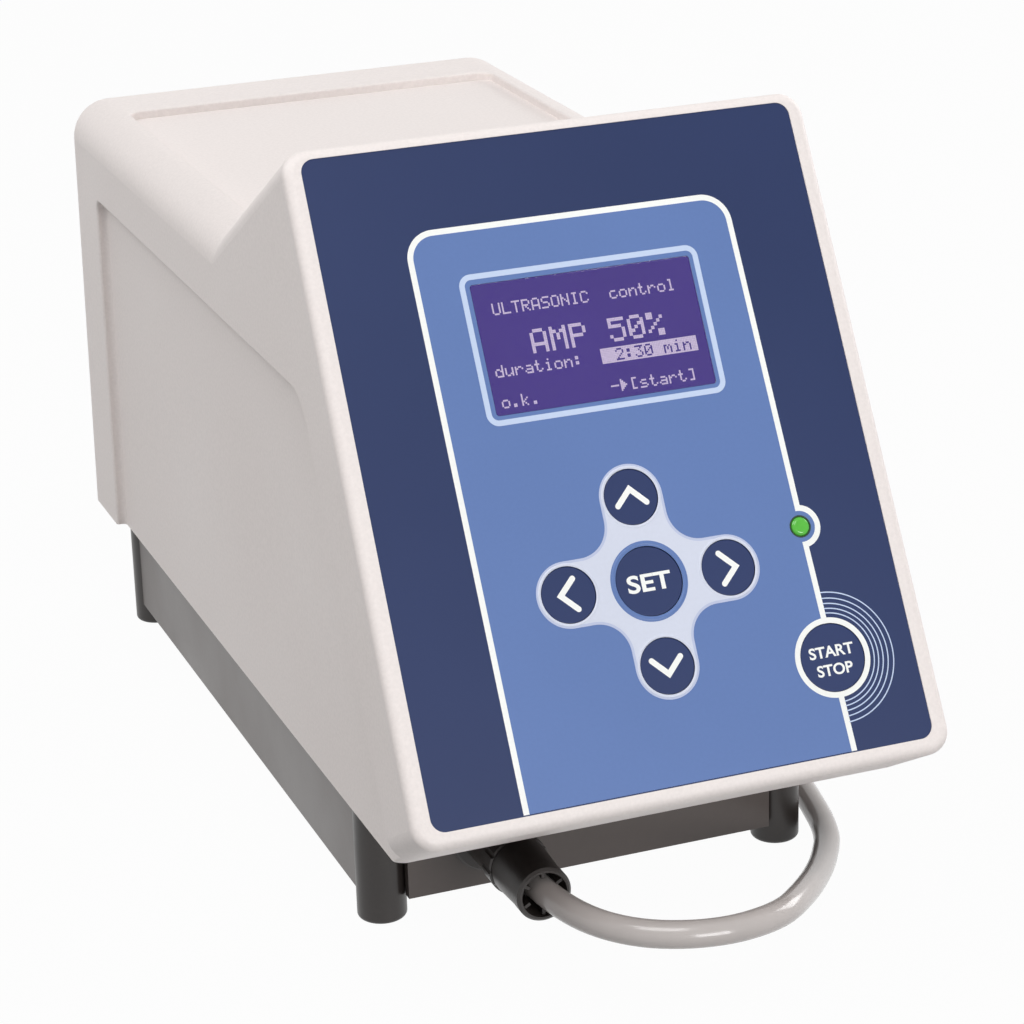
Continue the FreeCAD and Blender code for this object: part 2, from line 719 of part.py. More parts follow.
def chassis_tray():
    """Folded sheet tray with an outward flange that closes the housing from below."""
    side = half_width(RIM_Z) - SIDE_RECESS_DEPTH - WALL - FLANGE_GAP
    flange = box(-side, side, flange_front(), back_at(FLANGE_Z) - WALL - FLANGE_GAP, FLANGE_Z, FLANGE_TOP)
    back_corners = edges_where(flange, lambda m, a: abs(a.z) > 0.99 and m.y > FOOT_BACK)
    flange = flange.makeFillet(BACK_CORNER_ROUND - WALL, back_corners)
    tray = fused([tray_column(0.0, CHASSIS_BOTTOM, FLANGE_Z), flange])
    tray = tray.cut(tray_column(SHEET, FLOOR_TOP, FLANGE_TOP + 5))
    holes = [rod(V(x, y, FLANGE_Z - 1), Z_AXIS, (FOOT_SCREW + HOLE_PLAY) / 2, 5) for x, y in foot_places()]
    for x in (-FLANGE_SCREW_X, FLANGE_SCREW_X):
        holes.append(rod(V(x, FLANGE_SCREW_Y, FLANGE_Z - 1), Z_AXIS, (FLANGE_SCREW + HOLE_PLAY) / 2, 5))
    for x, y in standoff_places():
        holes.append(rod(V(x, y, CHASSIS_BOTTOM - 1), Z_AXIS, (FLANGE_SCREW + HOLE_PLAY) / 2, 5))
    barrel = SOCKET_BARREL_RADIUS + HOLE_PLAY / 2
    holes.append(rod(V(PLUG_X, CHASSIS_FRONT - 1, PLUG_Z), Y_AXIS, barrel, 5))
    return tray.cut(group(holes))


def foot(x, y):
    """Round column foot, soft at its lower edge, counterbored for its screw."""
    column = rod(V(x, y, 0), Z_AXIS, FOOT_RADIUS, FLANGE_Z)
    edge = edges_where(column, lambda m, a: abs(m.z) < 0.01 and abs(a.z) < 0.1)
    column = column.makeFillet(FOOT_ROUND, edge)
    bore = rod(V(x, y, -1), Z_AXIS, (FOOT_SCREW + HOLE_PLAY) / 2, FLANGE_Z + 2)
    sink = rod(V(x, y, -1), Z_AXIS, FOOT_SCREW_HEAD / 2 + HOLE_PLAY, FOOT_SCREW_SINK + 1)
    return column.cut(bore.fuse(sink))


def foot_screws():
    """Long screws that clamp foot, flange and housing boss together."""
    length = FLANGE_TOP - FOOT_SCREW_SINK + FOOT_SCREW_BITE
    up = [
        screw(V(x, y, FOOT_SCREW_SINK), Z_AXIS, FOOT_SCREW, length, FOOT_SCREW_HEAD, FOOT_SCREW_HEAD_HIGH)
        for x, y in foot_places()
    ]
    return group(up)


def flange_screws():
    """Two short screws that hold the flange under the console."""
    places = [V(side * FLANGE_SCREW_X, FLANGE_SCREW_Y, FLANGE_Z) for side in (-1, 1)]
    head = (FLANGE_SCREW_HEAD, FLANGE_SCREW_HEAD_HIGH)
    return group([screw(place, Z_AXIS, FLANGE_SCREW, FLANGE_SCREW_LONG, *head) for place in places])


def keypad_overlay():
    """Printed face sheet with openings for the keys, the display and the lamp."""
    trim = box(-FAR, FAR, -FAR, FAR, -OVERLAY_THICK, 0)
    sheet = overlay_outline(-0.05)
    sheet.translate(V(0, 0, 0.5))
    sheet = sheet.common(trim)
    for name, x, v, radius in key_places():
        sheet = sheet.cut(rod(V(x, v, -2), Z_AXIS, radius, 4))
    window = rounded_plate(DISPLAY_WIDTH, DISPLAY_HEIGHT, DISPLAY_CORNER, 4)
    window.translate(V(DISPLAY_X, DISPLAY_V, 2))
    lamp = rod(V(LED_X, LED_V, -2), Z_AXIS, LED_RADIUS + 0.05, 4)
    return on_face(sheet.cut(window).cut(lamp))


def key(x, v, radius):
    """Round key cap on a stem whose collar keeps it behind the wall."""
    cap = rod(V(x, v, -KEY_THICK), Z_AXIS, radius - KEY_PLAY, KEY_THICK)
    edge = edges_where(cap, lambda m, a: abs(m.z) < 0.01 and abs(a.z) < 0.1)
    cap = cap.makeFillet(0.25, edge)
    stem_end = KEY_BOARD_H + SWITCH_HIGH + SWITCH_REST_GAP
    stem = rod(V(x, v, stem_end), Z_AXIS, KEY_STEM_RADIUS, -stem_end - KEY_THICK)
    collar = rod(V(x, v, -FACE_BACK - KEY_COLLAR_THICK - 0.06), Z_AXIS, KEY_COLLAR_RADIUS, KEY_COLLAR_THICK)
    return on_face(fused([cap, stem, collar]))


def keypad_board():
    """Board behind the keys."""
    left = KEY_X - KEY_BOARD_LEFT
    right = KEY_X + KEY_BOARD_RIGHT
    board = box(left, right, KEY_BOARD_LOW, KEY_BOARD_HIGH, KEY_BOARD_H - BOARD_THICK, KEY_BOARD_H)
    for x, v in key_board_holes():
        board = board.cut(rod(V(x, v, KEY_BOARD_H - 5), Z_AXIS, SMALL_SCREW / 2 + HOLE_PLAY / 2, 10))
    return on_face(board)


def key_switches():
    """Push switches on the keypad board, one under each key."""
    switches = []
    half = SWITCH_SIDE / 2
    for name, x, v, radius in key_places():
        base = box(x - half, x + half, v - half, v + half, KEY_BOARD_H, KEY_BOARD_H + SWITCH_HIGH - 0.6)
        button = rod(V(x, v, KEY_BOARD_H), Z_AXIS, 1.7, SWITCH_HIGH)
        switches.append(on_face(fused([base, button])))
    return group(switches)


def face_screws(places, board_back):
    """Small screws from behind a board into the bosses of the front wall."""
    length = -FACE_BACK - board_back - 0.3
    return group(
        [on_face(screw(V(x, v, board_back), Z_AXIS, SMALL_SCREW, length, 4.5, 1.8)) for x, v in places]
    )


def status_led():
    """Lamp with a domed end that stands a little out of the face."""
    base = rod(V(LED_X, LED_V, KEY_BOARD_H), Z_AXIS, LED_RADIUS, -KEY_BOARD_H + LED_PROUD)
    edge = edges_where(base, lambda m, a: abs(m.z - LED_PROUD) < 0.01 and abs(a.z) < 0.1)
    return on_face(base.makeFillet(1.2, edge))


def display_window():
    """Clear pane flush with the face sheet."""
    pane = rounded_plate(DISPLAY_WIDTH - 0.1, DISPLAY_HEIGHT - 0.1, DISPLAY_CORNER, OVERLAY_THICK)
    return on_face(pane, DISPLAY_X, DISPLAY_V)


def display_glass():
    """Display stack: glass and backlight in one block."""
    front = -OVERLAY_THICK - GLASS_SET_BACK
    thick = FACE_BACK + BEZEL_THICK + front
    glass = rounded_plate(DISPLAY_WIDTH + 2 * GLASS_MARGIN, DISPLAY_HEIGHT + 2 * GLASS_MARGIN, 0.5, thick)
    return on_face(glass, DISPLAY_X, DISPLAY_V, front)


def display_bezel():
    """Metal frame that clamps the display stack to its board."""
    frame = rounded_plate(BEZEL_WIDTH, BEZEL_HEIGHT, 1.0, BEZEL_THICK)
    room = 2 * GLASS_MARGIN + 0.2
    inner = rounded_plate(DISPLAY_WIDTH + room, DISPLAY_HEIGHT + room, 0.5, 8)
    inner.translate(V(0, 0, 2))
    frame = frame.cut(inner)
    for x, v in module_holes():
        frame = frame.cut(rod(V(x - DISPLAY_X, v - DISPLAY_V, -10), Z_AXIS, BOARD_BOSS_RADIUS + 0.4, 20))
    return on_face(frame, DISPLAY_X, DISPLAY_V, -FACE_BACK)


def display_board():
    """Board of the display module."""
    back = -FACE_BACK - BEZEL_THICK
    board = rounded_plate(MODULE_WIDTH, MODULE_HEIGHT, 1.0, BOARD_THICK)
    for x, v in module_holes():
        place = V(x - DISPLAY_X, v - DISPLAY_V, -5)
        board = board.cut(rod(place, Z_AXIS, (SMALL_SCREW + HOLE_PLAY) / 2, 10))
    return on_face(board, DISPLAY_X, DISPLAY_V, back)


def ribbon(points, thick, x, width):
    """Flat cable that follows side-view points, one thickness wide in the bends."""
    upper = []
    lower = []
    for i, (y, z) in enumerate(points):
        before = points[max(i - 1, 0)]
        after = points[min(i + 1, len(points) - 1)]
        a = math.atan2(y - before[0], z - before[1]) if i else None
        b = math.atan2(after[0] - y, after[1] - z) if i < len(points) - 1 else None
        a = b if a is None else a
        b = a if b is None else b
        mean = (a + b) / 2
        reach = thick / 2 / math.cos((b - a) / 2)
        upper.append((y + reach * math.cos(mean), z - reach * math.sin(mean)))
        lower.append((y - reach * math.cos(mean), z + reach * math.sin(mean)))
    return prism_x(upper + lower[::-1], x - width / 2, x + width / 2)


def ribbon_ends():
    """Where the flat cable leaves the keypad board and reaches the main board."""
    start = face_point(KEY_BOARD_LOW + RIBBON_ABOVE, KEY_BOARD_H - BOARD_THICK - KEY_SOCKET_HIGH)
    return start, (MAIN_BOARD_FRONT + RIBBON_INSET, BOARD_TOP + BOARD_SOCKET_HIGH)


def ribbon_cable():
    """Flat cable between the keypad board and the main board."""
    start, end = ribbon_ends()
    away = [(start[0] + y, start[1] + z) for y, z in RIBBON_FROM_KEYS]
    down = [(end[0] + y, start[1] + z) for y, z in RIBBON_TO_BOARD]
    return ribbon([start] + away + down + [end], RIBBON_THICK, RIBBON_X, RIBBON_WIDTH).cut(ribbon_plugs())


def ribbon_plugs():
    """Sockets of the flat cable on both boards."""
    x0 = RIBBON_X - RIBBON_SOCKET_LONG / 2
    x1 = RIBBON_X + RIBBON_SOCKET_LONG / 2
    half = RIBBON_SOCKET_WIDE / 2
    y = MAIN_BOARD_FRONT + RIBBON_INSET
    v = KEY_BOARD_LOW + RIBBON_ABOVE
    top = KEY_BOARD_H - BOARD_THICK
    low = box(x0, x1, y - half, y + half, BOARD_TOP, BOARD_TOP + BOARD_SOCKET_HIGH)
    high = on_face(box(x0, x1, v - half, v + half, top - KEY_SOCKET_HIGH, top))
    return group([low, high])


def back_panel():
    """Sheet-metal back panel with vent slots and socket openings."""
    plate = back_plate(
        BACK_PANEL_WIDTH, BACK_PANEL_LOW, BACK_PANEL_HIGH, BACK_PANEL_CORNER, BACK_PANEL_Y - SHEET, SHEET
    )
    y0 = BACK_PANEL_Y - 10
    cuts = []
    for row in range(VENT_ROWS):
        z = VENT_LOW_Z + row * VENT_PITCH
        for side in (-1, 1):
            middle = side * (VENT_LONG + VENT_MIDDLE_BAR) / 2
            half = (VENT_LONG - VENT_HIGH) / 2
            cuts.append(box(middle - half, middle + half, y0, y0 + 20, z - VENT_HIGH / 2, z + VENT_HIGH / 2))
            cuts.append(rod(V(middle - half, y0, z), Y_AXIS, VENT_HIGH / 2, 20))
            cuts.append(rod(V(middle + half, y0, z), Y_AXIS, VENT_HIGH / 2, 20))
    w = INLET_BODY_W / 2 + 0.2
    h = INLET_BODY_H / 2 + 0.2
    cuts.append(box(INLET_X - w, INLET_X + w, y0, y0 + 20, SOCKET_ROW_Z - h, SOCKET_ROW_Z + h))
    w = SWITCH_FRAME_W / 2 - 1.3
    h = SWITCH_FRAME_H / 2 - 1.3
    cuts.append(box(SWITCH_X - w, SWITCH_X + w, y0, y0 + 20, SOCKET_ROW_Z - h, SOCKET_ROW_Z + h))
    cuts.append(rod(V(JACK_X, y0, SOCKET_ROW_Z), Y_AXIS, JACK_BARREL / 2 + 0.2, 20))
    for x, z in back_screw_places() + inlet_screw_places():
        cuts.append(rod(V(x, y0, z), Y_AXIS, (FLANGE_SCREW + HOLE_PLAY) / 2, 20))
    return plate.cut(group(cuts))


def back_screws():
    """Screws of the back panel."""
    places = [V(x, BACK_PANEL_Y, z) for x, z in back_screw_places()]
    return group([screw(place, V(0, -1, 0), FLANGE_SCREW, 6.5, 5.5, 2.0) for place in places])


def inlet_screw_places():
    """Fixing places of the mains inlet."""
    dx = INLET_FLANGE_W / 2 - 3.8
    return [(INLET_X - dx, SOCKET_ROW_Z), (INLET_X + dx, SOCKET_ROW_Z)]


def mains_inlet():
    """Mains inlet with its socket well below and the fuse-drawer slot above."""
    face = BACK_PANEL_Y + INLET_FLANGE_T
    low = SOCKET_ROW_Z - INLET_FLANGE_H / 2
    flange = back_plate(INLET_FLANGE_W, low, low + INLET_FLANGE_H, 3, BACK_PANEL_Y, INLET_FLANGE_T)
    flange.translate(V(INLET_X, 0, 0))
    w = INLET_BODY_W / 2
    h = INLET_BODY_H / 2
    body = box(INLET_X - w, INLET_X + w, face - INLET_BODY_DEEP, face, SOCKET_ROW_Z - h, SOCKET_ROW_Z + h)
    block = fused([flange, body])
    block = block.cut(inlet_well(face))
    dw = DRAWER_W / 2 + DRAWER_PLAY
    dh = DRAWER_H / 2 + DRAWER_PLAY
    z = SOCKET_ROW_Z + DRAWER_RISE
    slot = box(INLET_X - dw, INLET_X + dw, face - DRAWER_LONG - 0.4, face + 1, z - dh, z + dh)
    block = block.cut(slot)
    for x, zz in inlet_screw_places():
        block = block.cut(rod(V(x, BACK_PANEL_Y - 1, zz), Y_AXIS, (FLANGE_SCREW + HOLE_PLAY) / 2, 10))
    return block


def inlet_well(face):
    """Well of the mains socket, with two cut corners at its top."""
    w = INLET_HOLE_W / 2
    h = INLET_HOLE_H / 2
    z = SOCKET_ROW_Z - INLET_HOLE_DROP
    cut = 4.0
    corners = [(-w, -h), (w, -h), (w, h - cut), (w - cut, h), (-w + cut, h), (-w, h - cut), (-w, -h)]
    wire = Part.makePolygon([V(INLET_X + x, face - INLET_HOLE_DEEP, z + dz) for x, dz in corners])
    return Part.Face(wire).extrude(V(0, INLET_HOLE_DEEP + 1, 0))


def inlet_pins():
    """Three flat contact pins standing in the well, with tails behind the body."""
    face = BACK_PANEL_Y + INLET_FLANGE_T
    floor = face - INLET_HOLE_DEEP
    pins = []
    for dx, dz in ((-7, -2), (7, -2), (0, 2)):
        x = INLET_X + dx
        z = SOCKET_ROW_Z - INLET_HOLE_DROP + dz
        pins.append(box(x - 1, x + 1, floor, floor + INLET_PIN_LONG, z - 2, z + 2))
    return group(pins)


def inlet_screws():
    """Screws of the mains inlet with their nuts behind the panel."""
    made = []
    for x, z in inlet_screw_places():
        seat = V(x, BACK_PANEL_Y + INLET_FLANGE_T, z)
        made.append(screw(seat, V(0, -1, 0), FLANGE_SCREW, 9, 5.5, 2.0))
        nut = hex_bar(V(x, BACK_PANEL_Y - SHEET, z), V(0, -1, 0), 5.5, 2.4)
        made.append(nut.cut(rod(V(x, BACK_PANEL_Y, z), V(0, -1, 0), (FLANGE_SCREW + SCREW_PLAY) / 2, 9)))
    return group(made)


def fuse_places():
    """Places of the two fuses in the drawer."""
    return [(INLET_X + side * DRAWER_W / 4, SOCKET_ROW_Z + DRAWER_RISE) for side in (-1, 1)]


def fuse_drawer():
    """Drawer with two fuse troughs and a finger lip."""
    face = BACK_PANEL_Y + INLET_FLANGE_T
    w = DRAWER_W / 2
    h = DRAWER_H / 2
    z = SOCKET_ROW_Z + DRAWER_RISE
    drawer = box(INLET_X - w, INLET_X + w, face - DRAWER_LONG, face + 0.3, z - h, z + h)
    front = box(INLET_X - w - 1, INLET_X + w + 1, face + 0.3, face + DRAWER_LIP, z - h - 0.8, z + h + 0.8)
    drawer = fused([drawer, front])
    grip = box(INLET_X - 5, INLET_X + 5, face + 0.9, face + DRAWER_LIP + 1, z - h - 2, z - h + 1.6)
    drawer = drawer.cut(grip)
    for x, fz in fuse_places():
        y0 = face - DRAWER_LONG + 1.2
        trough = rod(V(x, y0, fz), Y_AXIS, FUSE_RADIUS + 0.1, FUSE_LONG + 0.2)
        mouth = box(x - FUSE_RADIUS - 0.1, x + FUSE_RADIUS + 0.1, y0, y0 + FUSE_LONG + 0.2, fz, fz + h + 1)
        drawer = drawer.cut(trough.fuse(mouth))
    return drawer


def fuses():
    """Two glass fuses with end caps."""
    face = BACK_PANEL_Y + INLET_FLANGE_T
    made = []
    for x, z in fuse_places():
        y0 = face - DRAWER_LONG + 1.3
        glass = rod(V(x, y0 + 0.5, z), Y_AXIS, FUSE_RADIUS - 0.2, FUSE_LONG - 1)
        caps = [rod(V(x, y, z), Y_AXIS, FUSE_RADIUS, 5) for y in (y0, y0 + FUSE_LONG - 5)]
        made.append(fused([glass] + caps))
    return group(made)


def rocker_centre():
    """Axis height and depth of the power rocker."""
    return BACK_PANEL_Y + SWITCH_FRAME_T - ROCKER_SET_BACK


def switch_frame():
    """Frame and body of the power switch, with the rocker's well and pin holes."""
    face = BACK_PANEL_Y + SWITCH_FRAME_T
    low = SOCKET_ROW_Z - SWITCH_FRAME_H / 2
    flange = back_plate(SWITCH_FRAME_W, low, low + SWITCH_FRAME_H, 2, BACK_PANEL_Y, SWITCH_FRAME_T)
    flange.translate(V(SWITCH_X, 0, 0))
    w = SWITCH_FRAME_W / 2 - 1.5
    h = SWITCH_FRAME_H / 2 - 1.5
    body = box(SWITCH_X - w, SWITCH_X + w, face - SWITCH_BODY_DEEP, face, SOCKET_ROW_Z - h, SOCKET_ROW_Z + h)
    wide = ROCKER_WIDE / 2 + ROCKER_PLAY
    high = ROCKER_RADIUS + ROCKER_PLAY
    y = rocker_centre()
    z = SOCKET_ROW_Z
    well = box(SWITCH_X - wide, SWITCH_X + wide, y - high, face + 1, z - high, z + high)
    pin = rod(V(SWITCH_X - wide - 1.2, y, z), X_AXIS, ROCKER_PIN + ROCKER_PIN_PLAY, 2 * wide + 2.4)
    return fused([flange, body]).cut(well.fuse(pin))


def power_rocker():
    """Rocker with a two-way sloped face, drawn in its off position."""
    y = rocker_centre()
    wide = ROCKER_WIDE / 2
    drum = rod(V(SWITCH_X - wide, y, SOCKET_ROW_Z), X_AXIS, ROCKER_RADIUS, ROCKER_WIDE)
    slope = math.tan(math.radians(ROCKER_SWING / 2))
    reach = ROCKER_SET_BACK + 0.6
    rise = ROCKER_RADIUS + 2
    keep = [
        (y - 3, SOCKET_ROW_Z - rise),
        (y + reach + slope * rise, SOCKET_ROW_Z - rise),
        (y + reach, SOCKET_ROW_Z),
        (y + reach + slope * rise, SOCKET_ROW_Z + rise),
        (y - 3, SOCKET_ROW_Z + rise),
    ]
    rocker = drum.common(prism_x(keep, SWITCH_X - FAR, SWITCH_X + FAR))
    pin_start = V(SWITCH_X - wide - ROCKER_PLAY - 1, y, SOCKET_ROW_Z)
    pins = rod(pin_start, X_AXIS, ROCKER_PIN, ROCKER_WIDE + 2 * ROCKER_PLAY + 2)
    rocker = fused([rocker, pins])
    rocker.rotate(V(SWITCH_X, y, SOCKET_ROW_Z), X_AXIS, ROCKER_SWING / 2)
    return rocker


def footswitch_jack():
    """Round jack socket for a footswitch, with its nut outside and its body inside."""
    centre = V(JACK_X, BACK_PANEL_Y, SOCKET_ROW_Z)
    barrel = rod(centre - Y_AXIS * SHEET, Y_AXIS, JACK_BARREL / 2, SHEET + 4.5)
    nut = hex_bar(centre, Y_AXIS, JACK_NUT, 2.5)
    half = JACK_BODY / 2
    y1 = BACK_PANEL_Y - SHEET
    body = box(JACK_X - half, JACK_X + half, y1 - JACK_DEEP, y1, SOCKET_ROW_Z - half, SOCKET_ROW_Z + half)
    bore = rod(V(JACK_X, y1 - JACK_DEEP + 3, SOCKET_ROW_Z), Y_AXIS, JACK_BORE / 2, JACK_DEEP + 10)
    return fused([barrel, nut, body]).cut(bore)


def hf_socket():
    """Round lead socket on the front of the chassis, with its barrel through the sheet."""
    f = CHASSIS_FRONT
    bar = SOCKET_BARREL_RADIUS
    back = SHEET + SOCKET_NUT_T + 3
    profile = [
        (-back, 0),
        (-back, bar - 0.2),
        (-0.0, bar - 0.2),
        (0, SOCKET_FLANGE_RADIUS),
        (SOCKET_FLANGE_T - 0.8, SOCKET_FLANGE_RADIUS),
        (SOCKET_FLANGE_T, SOCKET_FLANGE_RADIUS - 0.8),
        (SOCKET_FLANGE_T, bar),
        (SOCKET_FLANGE_T + SOCKET_BARREL_LONG, bar),
        (SOCKET_FLANGE_T + SOCKET_BARREL_LONG, SOCKET_BORE_RADIUS),
        (SOCKET_FLANGE_T, SOCKET_BORE_RADIUS),
        (SOCKET_FLANGE_T, 0),
    ]
    return revolved(profile, V(PLUG_X, f, PLUG_Z), V(0, -1, 0))


def hf_socket_nut():
    """Nut that holds the lead socket from inside."""
    start = V(PLUG_X, CHASSIS_FRONT + SHEET, PLUG_Z)
    nut = hex_bar(start, Y_AXIS, SOCKET_NUT_ACROSS, SOCKET_NUT_T)
    return nut.cut(rod(start - Y_AXIS, Y_AXIS, SOCKET_BARREL_RADIUS - 0.2 + SCREW_PLAY, SOCKET_NUT_T + 2))


def hf_plug_body():
    """Plug body: nose in the socket, shank through the ring, open bell where the lead leaves."""
    start = SOCKET_FLANGE_T + SOCKET_BARREL_LONG
    nose = SOCKET_BORE_RADIUS - PLUG_PLAY
    ring_end = SOCKET_FLANGE_T + 0.5 + COUPLING_LONG
    bell = PLUG_LONG - PLUG_END_DEEP
    profile = [
        (start - PLUG_NOSE_LONG, 0),
        (start - PLUG_NOSE_LONG, nose),
        (start + 0.3, nose),
        (start + 0.3, PLUG_BODY_RADIUS - 0.4),
        (ring_end + 0.3, PLUG_BODY_RADIUS - 0.4),
        (ring_end + 0.3, COUPLING_COLLAR - 0.6),
        (ring_end + 2.3, COUPLING_COLLAR - 0.6),
        (PLUG_LONG - 5, PLUG_END_RADIUS - 0.2),
        (PLUG_LONG - 5, PLUG_END_RADIUS),
        (PLUG_LONG - 0.8, PLUG_END_RADIUS),
        (PLUG_LONG, PLUG_END_RADIUS - 0.8),
        (PLUG_LONG, PLUG_END_BORE),
        (bell, CABLE_RADIUS + 0.8),
        (bell, 0),
    ]
    body = revolved(profile, V(PLUG_X, CHASSIS_FRONT, PLUG_Z), V(0, -1, 0))
    ribs = []
    for i in range(6):
        rib = box(CABLE_RADIUS + 0.7, PLUG_END_BORE + 0.6, -0.5, 0.5, -PLUG_END_DEEP, -1.2)
        rib.rotate(V(0, 0, 0), Z_AXIS, 60 * i + 30)
        rib.Placement = FreeCAD.Placement(
            V(PLUG_X, CHASSIS_FRONT - PLUG_LONG, PLUG_Z), FreeCAD.Rotation(Z_AXIS, V(0, -1, 0))
        ).multiply(rib.Placement)
        ribs.append(rib)
    inner = V(*CABLE_ROUTE[0])
    outward = (V(*CABLE_ROUTE[1]) - inner).normalize()
    way = rod(inner + outward * (1.0 / -outward.y), outward, CABLE_RADIUS + BELL_PLAY, PLUG_END_DEEP + 4)
    return fused([body, group(ribs).cut(way)])


def plug_coupling_ring():
    """Turning ring that locks the plug on the socket barrel, with grip flutes."""
    inner = SOCKET_BARREL_RADIUS + PLUG_PLAY
    start = SOCKET_FLANGE_T + 0.5
    step = SOCKET_FLANGE_T + SOCKET_BARREL_LONG + 0.6
    end = start + COUPLING_LONG
    profile = [
        (start, inner),
        (start, COUPLING_RADIUS - 0.4),
        (start + 0.6, COUPLING_RADIUS),
        (end - 7, COUPLING_RADIUS),
        (end - 6.4, COUPLING_COLLAR),
        (end - 0.5, COUPLING_COLLAR),
        (end, COUPLING_COLLAR - 0.5),
        (end, PLUG_BODY_RADIUS - 0.4 + PLUG_PLAY),
        (step, PLUG_BODY_RADIUS - 0.4 + PLUG_PLAY),
        (step, inner),
    ]
    body = revolved(profile, V(PLUG_X, CHASSIS_FRONT, PLUG_Z), V(0, -1, 0))
    flutes = []
    for i in range(12):
        a = math.radians(30 * i)
        r = COUPLING_COLLAR + 0.6
        centre = V(PLUG_X + r * math.cos(a), CHASSIS_FRONT - end - 1, PLUG_Z + r * math.sin(a))
        flutes.append(rod(centre, Y_AXIS, 1.1, 9))
    return body.cut(group(flutes))


def plug_contacts():
    """Contact pins between socket and plug."""
    made = []
    for dx, dz in ((-3, 0), (3, 0), (0, 3)):
        y1 = CHASSIS_FRONT - SOCKET_FLANGE_T
        y0 = CHASSIS_FRONT - (SOCKET_FLANGE_T + SOCKET_BARREL_LONG - PLUG_NOSE_LONG)
        made.append(rod(V(PLUG_X + dx, y0, PLUG_Z + dz), Y_AXIS, 0.9, y1 - y0))
    return group(made)


def rounded_path(points):
    """Straight runs joined by tangent arcs, each as large as its two runs allow."""
    pts = [V(*p) for p in points]
    edges = []
    radii = []
    start = pts[0]
    for i in range(1, len(pts) - 1):
        before = (pts[i - 1] - pts[i])
        after = (pts[i + 1] - pts[i])
        shorter = min(before.Length, after.Length)
        before.normalize()
        after.normalize()
        turn = math.pi - before.getAngle(after)
        reach = 0.45 * shorter
        radius = reach / math.tan(turn / 2)
        radii.append(radius)
        first = pts[i] + before * reach
        last = pts[i] + after * reach
        middle = pts[i] + (before + after).normalize() * (radius / math.cos(turn / 2) - radius)
        edges.append(Part.LineSegment(start, first).toShape())
        edges.append(Part.Arc(first, middle, last).toShape())
        start = last
    edges.append(Part.LineSegment(start, pts[-1]).toShape())
    return Part.Wire(edges), radii


def lead(points, radius):
    """Round lead along a rounded path."""
    path, radii = rounded_path(points)
    start = V(*points[0])
    heading = (V(*points[1]) - start).normalize()
    section = Part.Wire([Part.Circle(start, heading, radius).toShape()])
    tube = path.makePipeShell([section], True, True)
    print("lead: length %.1f, radii %s" % (path.Length, " ".join("%.0f" % r for r in radii)))
    plain = math.pi * radius * radius * path.Length
    print("lead: volume %.1f, section x length %.1f" % (tube.Volume, plain))
    return tube


def main_board_places():
    """Fixing places of the main board."""
    x = MAIN_BOARD_WIDTH / 2 - BOARD_HOLE_INSET
    front = MAIN_BOARD_FRONT + BOARD_HOLE_INSET
    back = MAIN_BOARD_BACK - BOARD_HOLE_INSET
    rows = (front, (front + back) / 2, back)
    return [(side * x, y) for side in (-1, 1) for y in rows]


def standoff_places():
    """The standoffs stand under the fixing places of the main board."""
    return main_board_places()


def standoffs():
    """Threaded pillars between the tray floor and the main board."""
    made = []
    for x, y in standoff_places():
        pillar = hex_bar(V(x, y, FLOOR_TOP), Z_AXIS, 2 * STANDOFF_RADIUS, STANDOFF_HIGH)
        thread = rod(V(x, y, FLOOR_TOP - 1), Z_AXIS, (FLANGE_SCREW + SCREW_PLAY) / 2, STANDOFF_HIGH + 2)
        made.append(pillar.cut(thread))
    return group(made)


def board_screws():
    """Screws of the main board from above and of its pillars from below."""
    made = []
    for x, y in main_board_places():
        made.append(screw(V(x, y, BOARD_TOP), V(0, 0, -1), FLANGE_SCREW, 5.0, 5.5, 2.2))
        made.append(screw(V(x, y, CHASSIS_BOTTOM), Z_AXIS, FLANGE_SCREW, 5.0, 5.5, 2.2))
    return group(made)


def main_board():
    """Main circuit board."""
    half = MAIN_BOARD_WIDTH / 2
    board = box(-half, half, MAIN_BOARD_FRONT, MAIN_BOARD_BACK, BOARD_Z, BOARD_TOP)
    for x, y in main_board_places():
        board = board.cut(rod(V(x, y, BOARD_Z - 1), Z_AXIS, (FLANGE_SCREW + HOLE_PLAY) / 2, 5))
    return board


def heat_sink():
    """Finned heat sink standing on the main board."""
    x0 = SINK_X + SINK_FIN_DEEP
    base = box(x0, x0 + SINK_BASE, SINK_FRONT, SINK_FRONT + SINK_LONG, BOARD_TOP, BOARD_TOP + SINK_HIGH)
    parts = [base]
    pitch = (SINK_LONG - SINK_FIN) / (SINK_FINS - 1)
    for i in range(SINK_FINS):
        y = SINK_FRONT + i * pitch
        parts.append(box(SINK_X, x0 + 1, y, y + SINK_FIN, BOARD_TOP, BOARD_TOP + SINK_HIGH))
    return fused(parts)


def power_transistors():
    """Four power transistors clamped flat on the heat sink, legs in the board."""
    made = []
    x = SINK_X + SINK_FIN_DEEP + SINK_BASE
    half = TRANSISTOR_WIDTH / 2
    low = BOARD_TOP + TRANSISTOR_RISE
    leg_x = x + (TRANSISTOR_THICK - TRANSISTOR_LEG_THICK) / 2
    for i in range(TRANSISTOR_COUNT):
        y = SINK_FRONT + SINK_LONG * (i + 0.5) / TRANSISTOR_COUNT
        parts = [box(x, x + TRANSISTOR_THICK, y - half, y + half, low, low + TRANSISTOR_HIGH)]
        for j in (-1, 0, 1):
            y0 = y + j * TRANSISTOR_LEG_PITCH - TRANSISTOR_LEG_WIDTH / 2
            y1 = y0 + TRANSISTOR_LEG_WIDTH
            parts.append(box(leg_x, leg_x + TRANSISTOR_LEG_THICK, y0, y1, BOARD_TOP, low + 1))
        made.append(fused(parts))
    return group(made)


